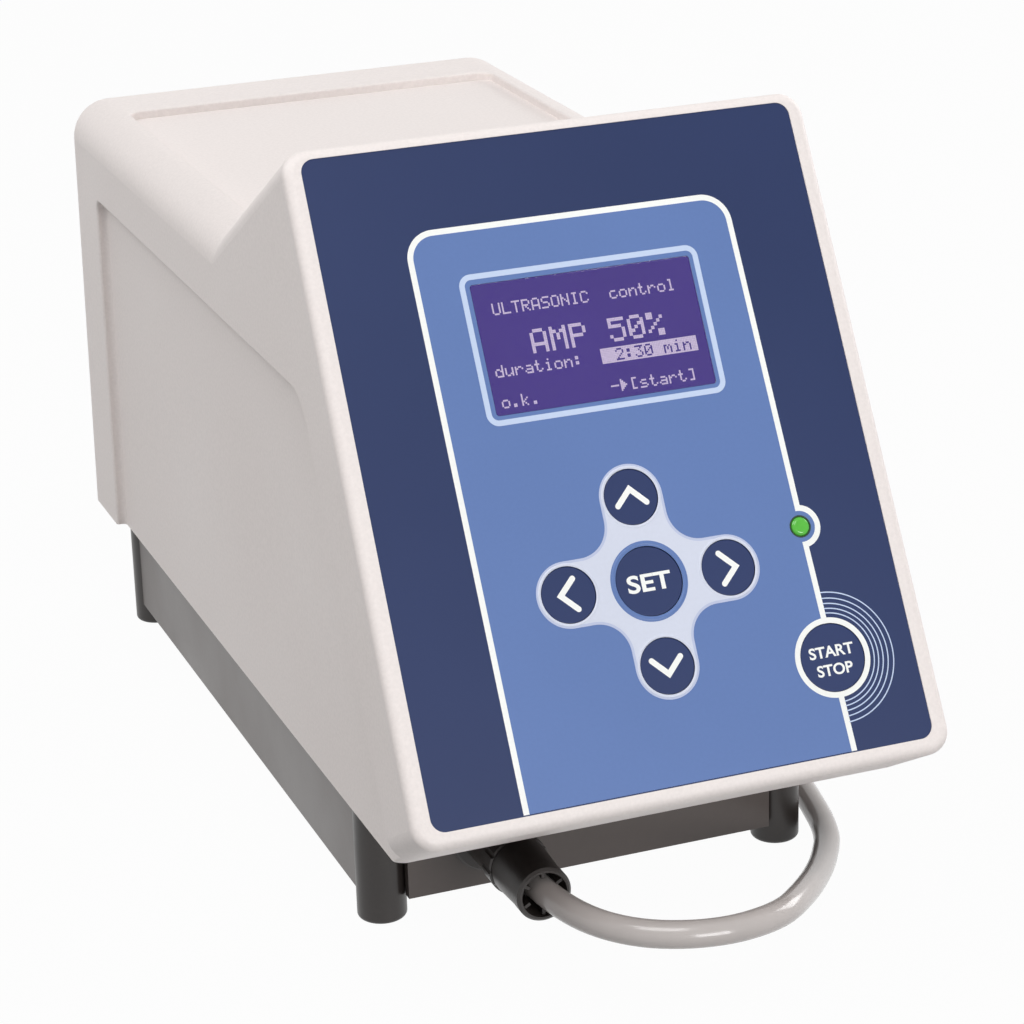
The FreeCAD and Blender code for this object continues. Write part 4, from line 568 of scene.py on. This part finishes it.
def lettering(name, text, middle, base, cap_high, width, thick, material, body):
    """A word as thin sheet letters on a key: its middle, base line, height and width in millimetres."""
    curve = bpy.data.curves.new(name, "FONT")
    curve.body = text
    curve.align_x = "CENTER"
    curve.size = 1.0
    curve.offset = LETTER_WEIGHT
    curve.extrude = 0.5
    curve.resolution_u = 6
    holder = bpy.data.objects.new(name + "_outline", curve)
    bpy.context.scene.collection.objects.link(holder)
    graph = bpy.context.evaluated_depsgraph_get()
    mesh = bpy.data.meshes.new_from_object(holder.evaluated_get(graph))
    bpy.data.objects.remove(holder)
    bpy.data.curves.remove(curve)
    xs = [v.co.x for v in mesh.vertices]
    ys = [v.co.y for v in mesh.vertices]
    wide, tall = max(xs) - min(xs), max(ys) - min(ys)
    shift = Vector((-(max(xs) + min(xs)) / 2, -min(ys), 0.0))
    scale = Matrix.Diagonal((width / wide * MM, cap_high / tall * MM, thick * MM, 1.0))
    seat = Matrix.Translation(Vector((middle, base, thick / 2)) * MM)
    mesh.transform(seat @ scale @ Matrix.Translation(shift))
    mesh.name = name
    return place_on_face(name, mesh, material, body)


# ---------------------------------------------------------------- the pieces


class GENERATOR_OT_camera(bpy.types.Operator):
    """Sets up the camera in front of the generator, above it and at its left"""

    bl_idname = "generator.camera"
    bl_label = "Camera"

    def execute(self, context):
        camera = bpy.data.cameras.new("view_camera")
        camera.lens = context.scene.generator_stage.lens
        camera.sensor_width = SENSOR_WIDTH
        camera.clip_end = 50.0
        holder = bpy.data.objects.new("view_camera", camera)
        holder.location = CAMERA_PLACE
        holder.rotation_euler = Euler([math.radians(angle) for angle in CAMERA_TURN])
        context.scene.collection.objects.link(holder)
        context.scene.camera = holder
        return {"FINISHED"}


# Points of the lead in millimetres, y from the face's lower edge back: from the plug to the coil, and from there to
# the far connector
LEAD_OUT = (
    (-35.0, 40.0, 26.5),
    (-33.3, 21.0, 25.7),
    (-19.7, 0.6, 24.2),
    (4.2, -7.9, 23.1),
    (27.8, -2.6, 21.6),
    (44.7, 16.1, 16.8),
    (58.6, 35.6, 10.6),
    (70.2, 53.5, 6.2),
    (80.7, 71.8, 4.6),
    (86.4, 97.4, 4.5),
    (92.0, 130.0, 4.5),
    (92.8, 176.0, 4.5),
    (95.0, 226.0, 4.5),
    (94.0, 276.0, 4.5),
    (95.5, 322.0, 4.5),
    (94.5, 362.0, 4.5),
    (88.5, 396.0, 4.5),
)
LEAD_END = ((95.6, 464.0, 13.2), (96.2, 480.0, 11.8), (98.4, 496.0, 9.0), (101.4, 511.0, 9.0))
# Middle of the winding, and how far its lowest turn stays above the table
COIL = (40.0, 452.0)
COIL_CLEAR = 0.2
# Where the winding steps inward, up and outward again: turned angle in degrees, radius and height in diameters
COIL_STEPS = (
    (-31, 1.0, 0),
    (200, 1.0, 0),
    (260, 0.0, 0),
    (560, 0.0, 0),
    (620, -1.0, 0),
    (860, -1.0, 0),
    (920, -1.0, 1),
    (1150, -1.0, 1),
    (1210, 0.0, 1),
    (1510, 0.0, 1),
    (1570, 1.0, 1),
    (1800, 1.0, 1),
)


def coil_points(middle, diameter):
    """Control points of the winding, 18 to a turn, swelled because the line passes inside them."""
    points = []
    step = 20.0
    swell = 1 / math.cos(math.radians(step / 2))
    low = diameter / 2 + COIL_CLEAR
    angle = COIL_STEPS[0][0]
    while angle <= COIL_STEPS[-1][0]:
        for (a, r0, z0), (b, r1, z1) in zip(COIL_STEPS, COIL_STEPS[1:]):
            if a <= angle <= b:
                t = (angle - a) / (b - a)
                t = t * t * (3 - 2 * t)
                radius = (middle + (r0 + (r1 - r0) * t) * diameter) * swell
                high = low + (z0 + (z1 - z0) * t) * diameter
                break
        turn = math.radians(angle)
        points.append((COIL[0] + radius * math.cos(turn), COIL[1] + radius * math.sin(turn), high))
        angle += step
    return points


class GENERATOR_OT_lead(bpy.types.Operator):
    """Lays the lead from its plug round the side to the coil behind the generator"""

    bl_idname = "generator.lead"
    bl_label = "Lead"

    def execute(self, context):
        sizes = context.scene.generator_sizes
        diameter = sizes.lead_diameter / MM
        route = list(LEAD_OUT) + coil_points(sizes.coil_radius / MM, diameter) + list(LEAD_END)
        curve = bpy.data.curves.new("hf_lead", "CURVE")
        curve.dimensions = "3D"
        curve.bevel_depth = sizes.lead_diameter / 2
        curve.bevel_resolution = 6
        curve.use_fill_caps = True
        spline = curve.splines.new("NURBS")
        spline.points.add(len(route) - 1)
        for point, (x, y, z) in zip(spline.points, route):
            point.co = (x * MM, (y + FOOT_Y) * MM, z * MM, 1.0)
        spline.order_u = 3
        spline.use_endpoint_u = True
        spline.resolution_u = 8
        lead = bpy.data.objects.new("hf_lead", curve)
        context.scene.collection.objects.link(lead)
        curve.materials.append(soft_jacket(tuple(context.scene.generator_colours.lead)))
        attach(lead, BODY)
        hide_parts("hf_cable", "hf_cable_coil", "hf_cable_end")
        return {"FINISHED"}


class GENERATOR_OT_housing(bpy.types.Operator):
    """Finishes the housing, the back panel, the tray and the feet"""

    bl_idname = "generator.housing"
    bl_label = "Housing and tray"

    def execute(self, context):
        colours = context.scene.generator_colours
        dress(moulded_housing(tuple(colours.housing)), "housing_shell")
        dress(powder_coat("Powder_coat_light_grey", tuple(colours.back_panel), 0.4, 0.52), "back_panel")
        dress(powder_coat("Powder_coat_dark_grey_satin", tuple(colours.chassis), 0.28, 0.4), "chassis_tray")
        feet = moulded_black("Nylon_moulded_black_foot", tuple(colours.feet), 0.28, 0.4)
        dress(feet, "foot_front_left", "foot_front_right", "foot_back_left", "foot_back_right")
        zinc = plated_metal("Steel_zinc_plated", linear("C4C6C8"), 0.25, 0.4)
        dress(
            zinc,
            "foot_screws",
            "flange_screws",
            "back_panel_screws",
            "mains_inlet_screws",
            "keypad_board_screws",
            "display_screws",
            "board_screws",
            "display_bezel",
            "hf_socket_nut",
        )
        return {"FINISHED"}


def right_line(height):
    """Middle of the field's right white line at a height up the face."""
    return FIELD_SIDE + (FIELD_TOP - height) / FIELD_TOP * FIELD_LEAN


def field_outline(inset, half, corner):
    """Closed outline of the light blue field, inset from the middle of its white line of that half width."""
    radius = corner - half - inset
    top = FIELD_TOP - half - inset
    left = inset - FIELD_SIDE
    right = right_line(top) - inset
    points = [(left, FIELD_FOOT), (right_line(0) - inset, FIELD_FOOT)]
    # the edge passes left of the start key, and right of the lamp
    reach = math.degrees(math.acos((right_line(START_KEY[1]) - inset - START_KEY[0]) / START_BAY))
    points += arc(*START_KEY, START_BAY, 360 - reach, reach, 48)
    bay = LAMP_BAY - inset
    reach = math.degrees(math.acos((right_line(LAMP[1]) - inset - LAMP[0]) / bay))
    points += arc(*LAMP, bay, -reach, reach, 32)
    points += arc(right - radius, top - radius, radius, 0, 90, 16)
    points += arc(left + radius, top - radius, radius, 90, 180, 16)
    return points


def pad_outline(lobe, fillet, grow=0.0):
    """Closed outline of the cross-shaped key pad with round arms and hollow corners."""
    cx, cy = KEY_PAD
    r = lobe + grow
    hollow = fillet - grow
    points = []
    for quarter in range(4):
        a = 90 * quarter
        c, s = math.cos(math.radians(a)), math.sin(math.radians(a))
        local = arc(KEY_PITCH, 0, r, -90, 90, 32) + arc(r + hollow, r + hollow, hollow, 270, 180, 16)
        points += [(cx + x * c - y * s, cy + x * s + y * c) for x, y in local]
    return points


class GENERATOR_OT_printed_face(bpy.types.Operator):
    """Prints the face: ground, light blue field, white lines, key pad, rings and arcs"""

    bl_idname = "generator.printed_face"
    bl_label = "Printed face"

    def execute(self, context):
        colours = context.scene.generator_colours
        sizes = context.scene.generator_sizes
        step = sizes.print_step / MM
        ground = printed_film("Polyester_film_dark_blue", tuple(colours.film))
        field = printed_film("Polyester_film_light_blue", tuple(colours.field))
        white = printed_film("Polyester_film_white", tuple(colours.line))
        pale = printed_film("Polyester_film_pale_line", tuple(colours.display_line))
        pad = printed_film("Polyester_film_pad", tuple(colours.pad))
        edge = printed_film("Polyester_film_pad_edge", tuple(colours.pad_edge))
        dress(ground, "keypad_overlay")
        half = sizes.line_width / MM / 2
        corner = sizes.field_corner / MM
        lobe, fillet = sizes.pad_lobe / MM, sizes.pad_fillet / MM
        x, y = DISPLAY
        wide, high, round_off = WINDOW
        window = rounded_box(x - wide, x + wide, y - high, y + high, round_off)
        cross = pad_outline(lobe, fillet)
        cross_in = pad_outline(lobe, fillet, -PAD_EDGE)
        lamp_hole = circle(*LAMP, LAMP_HOLE, 48)
        openings = [window, lamp_hole, cross_in]
        flat_piece("face_line", [field_outline(-half, half, corner), *openings], step, step, white)
        flat_piece("face_field", [field_outline(half, half, corner), *openings], 2 * step, step, field)
        start_ring = [circle(*START_KEY, RING_OUTSIDE, 96), circle(*START_KEY, START_HOLE)]
        flat_piece("start_ring", start_ring, 3 * step, step, white)
        set_hole = circle(*KEY_PAD, SET_HOLE)
        places = [(KEY_PAD[0] + dx * KEY_PITCH, KEY_PAD[1] + dy * KEY_PITCH) for _, dx, dy in ARROWS]
        key_holes = [circle(*place, ARROW_HOLE) for place in places]
        flat_piece("pad_edge", [cross, *key_holes, set_hole], 3 * step, step, edge)
        flat_piece("pad_cross", [cross_in, *key_holes, set_hole], 4 * step, step, pad)
        flat_piece("set_ring", [circle(*KEY_PAD, RING_OUTSIDE, 96), set_hole], 5 * step, step, field)
        rim_bead("set_rim", *KEY_PAD, *SET_BEAD, field)
        for i, place in enumerate(places):
            rim_bead(f"arrow_rim_{i}", *place, *ARROW_BEAD, pad)
        x0, x1, y0, y1 = DISPLAY_LINE
        line = DISPLAY_LINE_WIDTH
        frame_out = rounded_box(x0, x1, y0, y1, DISPLAY_LINE_CORNER)
        frame_in = rounded_box(x0 + line, x1 - line, y0 + line, y1 - line, DISPLAY_LINE_CORNER - line)
        flat_piece("display_line", [frame_out, frame_in], 3 * step, step, pale)
        edge_x = right_line(START_KEY[1]) + half - START_KEY[0]
        for i, radius in enumerate(START_ARCS):
            reach = math.degrees(math.acos(edge_x / radius))
            stroke = band(arc(*START_KEY, radius, -reach, reach, 64), START_ARC_WIDTH)
            flat_piece(f"start_arc_{i}", [stroke], step, step, pale)
        return {"FINISHED"}


class GENERATOR_OT_keys(bpy.types.Operator):
    """Finishes the keys and puts their signs on them"""

    bl_idname = "generator.keys"
    bl_label = "Keys"

    def execute(self, context):
        colours = context.scene.generator_colours
        step = context.scene.generator_sizes.print_step / MM
        cap = printed_film("Polyester_key_dark_blue", tuple(colours.key), grain=0.5)
        sign = printed_film("Polyester_key_sign_white", tuple(colours.line))
        dress(cap, "key_set", "key_up", "key_down", "key_left", "key_right", "key_start_stop")
        for way, dx, dy in ARROWS:
            cx, cy = KEY_PAD[0] + KEY_PITCH * dx, KEY_PAD[1] + KEY_PITCH * dy
            line = [(cx + x * dx - y * dy, cy + x * dy + y * dx) for x, y in CHEVRON]
            flat_piece("chevron_" + way, [band(line, CHEVRON_STROKE)], step, step, sign, "key_" + way)
        for name, (text, middle, base, cap_high, width, key) in WORDS.items():
            lettering(name, text, middle, base, cap_high, width, step, sign, key)
        return {"FINISHED"}


# An alphabet of letters five dots wide and seven high: each pair of digits is a column, its lowest bit the top dot
LETTER_WIDE = 5
LETTER_HIGH = 7
LETTER_STEP = 6
GLYPHS = {
    "%": "2313086462",
    "-": "0808080808",
    ".": "0060600000",
    "0": "3E5149453E",
    "2": "4261514946",
    "3": "2141454B31",
    "5": "2745454539",
    ":": "0036360000",
    "A": "7E1111117E",
    "C": "3E41414122",
    "I": "00417F4100",
    "L": "7F40404040",
    "M": "7F020C027F",
    "N": "7F0408107F",
    "O": "3E4141413E",
    "P": "7F09090906",
    "R": "7F09192946",
    "S": "4649494931",
    "T": "01017F0101",
    "U": "3F4040403F",
    "[": "007F414100",
    "]": "0041417F00",
    ">": "7F3E1C0800",
    "a": "2054545478",
    "c": "3844444420",
    "d": "384444487F",
    "i": "00447D4000",
    "k": "7F10284400",
    "l": "00417F4000",
    "m": "7C04180478",
    "n": "7C08040478",
    "o": "3844444438",
    "r": "7C08040408",
    "s": "4854545420",
    "t": "043F444020",
    "u": "3C4040207C",
}
# What the display shows: text, first dot column, first dot row, dots per dot
DISPLAY_TEXT = (
    ("ULTRASONIC  control", 7, 2, 1),
    ("AMP 50%", 26, 20, 2),
    ("duration:", 1, 38, 1),
    ("->[start]", 68, 56, 1),
    ("o.k.", 1, 56, 1),
)
# The lit bar and the text left dark in it. The bar starts at the first column and row and ends before the second
BAR_TEXT = (" 2:30 min", 69, 38, 1)
BAR_COLUMNS = (66, 126)
BAR_ROWS = (37, 46)
# Dots across the display, where the top of the first row is up the face, how deep the dots lie under the film, and
# the gap between two of them as a share of their spacing
DOTS_ACROSS = 128
DOTS_TOP = 151.25
DOTS_DEPTH = 0.93
DOT_GAP = 0.06


def text_dots(text, column, row, scale):
    """Dots that a text lights, as (column, row)."""
    dots = set()
    for n, letter in enumerate(text):
        columns = GLYPHS.get(letter, "00" * LETTER_WIDE)
        for i in range(LETTER_WIDE):
            bits = int(columns[2 * i : 2 * i + 2], 16)
            for j in range(LETTER_HIGH):
                if bits >> j & 1:
                    left, top = column + (LETTER_STEP * n + i) * scale, row + j * scale
                    dots |= {(left + a, top + b) for a in range(scale) for b in range(scale)}
    return dots


class GENERATOR_OT_display(bpy.types.Operator):
    """Lights the display and its dots behind the clear pane"""

    bl_idname = "generator.display"
    bl_label = "Display"

    def execute(self, context):
        colours = context.scene.generator_colours
        pitch = context.scene.generator_sizes.dot_pitch
        dress(lit_display(tuple(colours.display)), "display_glass")
        dress(clear_window(), "display_window")
        dots = set()
        for line in DISPLAY_TEXT:
            dots |= text_dots(*line)
        bar = {(column, row) for column in range(*BAR_COLUMNS) for row in range(*BAR_ROWS)}
        dots |= bar - text_dots(*BAR_TEXT)
        mesh = bpy.data.meshes.new("display_dots")
        form = bmesh.new()
        inset = DOT_GAP * pitch / 2
        x_left = DISPLAY[0] * MM - DOTS_ACROSS / 2 * pitch
        y_top = DOTS_TOP * MM
        z = -DOTS_DEPTH * MM
        for column, row in sorted(dots):
            x0, x1 = x_left + column * pitch + inset, x_left + (column + 1) * pitch - inset
            y1, y0 = y_top - row * pitch - inset, y_top - (row + 1) * pitch + inset
            form.faces.new([form.verts.new((x, y, z)) for x, y in ((x0, y0), (x1, y0), (x1, y1), (x0, y1))])
        form.to_mesh(mesh)
        form.free()
        place_on_face("display_dots", mesh, lit_dots(tuple(colours.dots)))
        return {"FINISHED"}


class GENERATOR_OT_lamp(bpy.types.Operator):
    """Lights the green lamp and paints the rim of its hole dark green, a painted shade tinted by the lamp's painted
    green glow
    """

    bl_idname = "generator.lamp"
    bl_label = "Lamp"

    def execute(self, context):
        colours = context.scene.generator_colours
        dress(lit_lamp(tuple(colours.lamp)), "status_led")
        # painted shade and glow: the bead round the lamp's hole is coloured dark green for the shade of its rim and
        # the lamp's green light on it
        rim = printed_film("Polyester_film_lamp_rim", linear("1E3B22"))
        rim_bead("lamp_rim", *LAMP, *LAMP_BEAD, rim)
        return {"FINISHED"}


class GENERATOR_OT_connectors(bpy.types.Operator):
    """Finishes the lead's plug, its socket and the far connector"""

    bl_idname = "generator.connectors"
    bl_label = "Plug and socket"

    def execute(self, context):
        colours = context.scene.generator_colours
        shell = moulded_black("Polyamide_moulded_black_plug", tuple(colours.plug), 0.3, 0.45)
        dress(shell, "hf_plug_body", "plug_coupling_ring", "far_connector")
        dress(moulded_black("Polyamide_moulded_black_socket", tuple(colours.feet), 0.35, 0.5), "hf_socket")
        gold = plated_metal("Brass_gold_plated", linear("D9B45E"), 0.15, 0.28)
        dress(gold, "plug_contacts", "far_connector_contacts")
        nickel = plated_metal("Brass_nickel_plated", linear("CFC9BC"), 0.15, 0.3)
        dress(nickel, "mains_inlet_pins", "board_standoffs")
        return {"FINISHED"}


class GENERATOR_OT_back(bpy.types.Operator):
    """Finishes the mains inlet, the switch, the jack and the fuses"""

    bl_idname = "generator.back"
    bl_label = "Back fittings"

    def execute(self, context):
        socket = moulded_black("Polyamide_moulded_black_inlet", linear("1F1F20"), 0.42, 0.56)
        dress(socket, "mains_inlet", "fuse_drawer", "power_switch_frame", "footswitch_jack")
        rocker = moulded_black("Polycarbonate_moulded_black_rocker", linear("1A1A1B"), 0.2, 0.3)
        dress(rocker, "power_rocker")
        # drawn glass tube: see-through and very smooth
        glass = surfaced(
            "Glass_tube_clear_fuse",
            linear("E6ECEC"),
            {"Transmission Weight": 0.6, "IOR": 1.5},
            grain=(1.0, 0.002, 0.0),
            cloud=(2.0, 0.03, 0.05, 0.12),
        )
        dress(glass, "fuses")
        return {"FINISHED"}


class GENERATOR_OT_inside(bpy.types.Operator):
    """Finishes the boards, the transformer, the heat sink and what else the vents let show"""

    bl_idname = "generator.inside"
    bl_label = "Inside"

    def execute(self, context):
        dress(circuit_board(), "main_board", "keypad_board", "display_board")
        dress(wound_wire(), "transformer_winding", "tuning_choke")
        # sintered ferrite: dull, grainy dark grey
        core = surfaced(
            "Ferrite_sintered",
            linear("2E2F33"),
            {"IOR": 2.0},
            grain=(0.4, 0.02, 0.08),
            cloud=(1.5, 0.1, 0.5, 0.7),
        )
        dress(core, "transformer_core")
        # extruded aluminium: draw lines along the fins
        sink = plated_metal("Aluminium_extruded", linear("C9CACC"), 0.3, 0.42, (1.0, 20.0, 1.0))
        dress(sink, "heat_sink")
        # shrunk PET sleeve: thin, smooth and shiny over the can
        sleeve = surfaced(
            "PET_sleeve_dark_blue",
            linear("1C2458"),
            {"IOR": 1.57},
            grain=(2.0, 0.02, 0.03),
            cloud=(5.0, 0.08, 0.2, 0.32),
        )
        dress(sleeve, "filter_capacitors")
        # extruded PVC flat cable: soft ripples as wide as its wires, 1.27 mm
        ribbon = surfaced(
            "PVC_ribbon_grey",
            linear("9A9CA0"),
            {"IOR": 1.53},
            grain=(1.27, 0.15, 0.06),
            cloud=(8.0, 0.04, 0.45, 0.6),
        )
        dress(ribbon, "ribbon_cable")
        # transfer-moulded epoxy: fine matt skin
        black = surfaced(
            "Epoxy_moulded_black",
            linear("1C1C1E"),
            {"IOR": 1.55},
            grain=(0.4, 0.01, 0.08),
            cloud=(3.0, 0.06, 0.45, 0.6),
        )
        dress(black, "ribbon_sockets", "power_transistors", "key_switches")
        return {"FINISHED"}


def softbox(name, place, power):
    """A square area lamp that looks at the generator."""
    lamp = bpy.data.lights.new(name, "AREA")
    lamp.shape = "SQUARE"
    lamp.size = SOFTBOX_SIZE
    lamp.energy = power
    holder = bpy.data.objects.new(name, lamp)
    holder.location = place
    holder.rotation_euler = (LIGHT_AIM - Vector(place)).to_track_quat("-Z", "Y").to_euler()
    bpy.context.scene.collection.objects.link(holder)


def seen_share(tree, share):
    """That share where the camera, a reflection or a view through a clear piece meets it, and none elsewhere."""
    ray = add_node(tree, "ShaderNodeLightPath")
    ways = {0: ray.outputs["Is Camera Ray"], 1: ray.outputs["Is Glossy Ray"]}
    plain = add_node(tree, "ShaderNodeMath", {"operation": "MAXIMUM"}, ways)
    ways = {0: plain.outputs[0], 1: ray.outputs["Is Transmission Ray"]}
    seen = add_node(tree, "ShaderNodeMath", {"operation": "MAXIMUM"}, ways)
    return add_node(tree, "ShaderNodeMath", {"operation": "MULTIPLY", 1: share}, {0: seen.outputs[0]}).outputs[0]


class GENERATOR_OT_stage(bpy.types.Operator):
    """Builds the pale floor, the room light and the softboxes"""

    bl_idname = "generator.stage"
    bl_label = "Stage"

    def execute(self, context):
        stage = context.scene.generator_stage
        mesh = bpy.data.meshes.new("floor")
        form = bmesh.new()
        bmesh.ops.create_grid(form, x_segments=1, y_segments=1, size=FLOOR_HALF)
        form.to_mesh(mesh)
        form.free()
        floor = bpy.data.objects.new("floor", mesh)
        floor.location = (0.0, 0.0, -FLOOR_DROP)
        context.scene.collection.objects.link(floor)
        # white coated paper: most of what is seen of it is its own even white, the rest takes the object's shadow
        board = bpy.data.materials.new("Paper_backdrop_white")
        board.use_nodes = True
        tree = board.node_tree
        tree.nodes.clear()
        matt = add_node(tree, "ShaderNodeBsdfDiffuse", {"Color": (*[stage.floor_grey] * 3, 1.0)})
        even = add_node(tree, "ShaderNodeEmission", {"Color": WHITE, "Strength": 1.0})
        ways = {0: seen_share(tree, PAPER_SHARE), 1: matt.outputs[0], 2: even.outputs[0]}
        mixed = add_node(tree, "ShaderNodeMixShader", links=ways)
        add_node(tree, "ShaderNodeOutputMaterial", links={"Surface": mixed.outputs[0]})
        mesh.materials.append(board)
        world = bpy.data.worlds.new("room")
        world.use_nodes = True
        tree = world.node_tree
        tree.nodes.clear()
        room = add_node(tree, "ShaderNodeBackground", {"Color": WHITE, "Strength": stage.world_strength})
        white = add_node(tree, "ShaderNodeBackground", {"Color": WHITE, "Strength": 1.0})
        ways = {0: seen_share(tree, 1.0), 1: room.outputs[0], 2: white.outputs[0]}
        mixed = add_node(tree, "ShaderNodeMixShader", links=ways)
        add_node(tree, "ShaderNodeOutputWorld", links={"Surface": mixed.outputs[0]})
        context.scene.world = world
        for side, place in SOFTBOXES:
            softbox("softbox_" + side, place, getattr(stage, side + "_power"))
        context.scene.view_settings.view_transform = "Standard"
        return {"FINISHED"}


class GENERATOR_PT_panel(bpy.types.Panel):
    """Lists the generator's colours, sizes and pieces"""

    bl_idname = "GENERATOR_PT_panel"
    bl_label = "Homogenizer Generator"
    bl_space_type = "VIEW_3D"
    bl_region_type = "UI"
    bl_category = "Generator"

    def draw(self, context):
        scene = context.scene
        for group in (scene.generator_colours, scene.generator_sizes, scene.generator_stage):
            box = self.layout.box()
            for name in group.__annotations__:
                box.prop(group, name)
        column = self.layout.column()
        for operator in OPERATORS:
            column.operator(operator.bl_idname)


OPERATORS = (
    GENERATOR_OT_camera,
    GENERATOR_OT_lead,
    GENERATOR_OT_housing,
    GENERATOR_OT_printed_face,
    GENERATOR_OT_keys,
    GENERATOR_OT_display,
    GENERATOR_OT_lamp,
    GENERATOR_OT_connectors,
    GENERATOR_OT_back,
    GENERATOR_OT_inside,
    GENERATOR_OT_stage,
)
SETTINGS = {
    "generator_colours": GeneratorColours,
    "generator_sizes": GeneratorSizes,
    "generator_stage": GeneratorStage,
}


def register():
    """Registers the settings, the operators and the panel."""
    for name, group in SETTINGS.items():
        bpy.utils.register_class(group)
        setattr(bpy.types.Scene, name, bpy.props.PointerProperty(type=group))
    for cls in (*OPERATORS, GENERATOR_PT_panel):
        bpy.utils.register_class(cls)


def unregister():
    """Takes them away again."""
    for cls in (GENERATOR_PT_panel, *reversed(OPERATORS)):
        bpy.utils.unregister_class(cls)
    for name, group in SETTINGS.items():
        delattr(bpy.types.Scene, name)
        bpy.utils.unregister_class(group)


def main():
    """Makes every piece in order."""
    register()
    for operator in OPERATORS:
        group, name = operator.bl_idname.split(".")
        getattr(getattr(bpy.ops, group), name)()


if __name__ == "__main__":
    main()
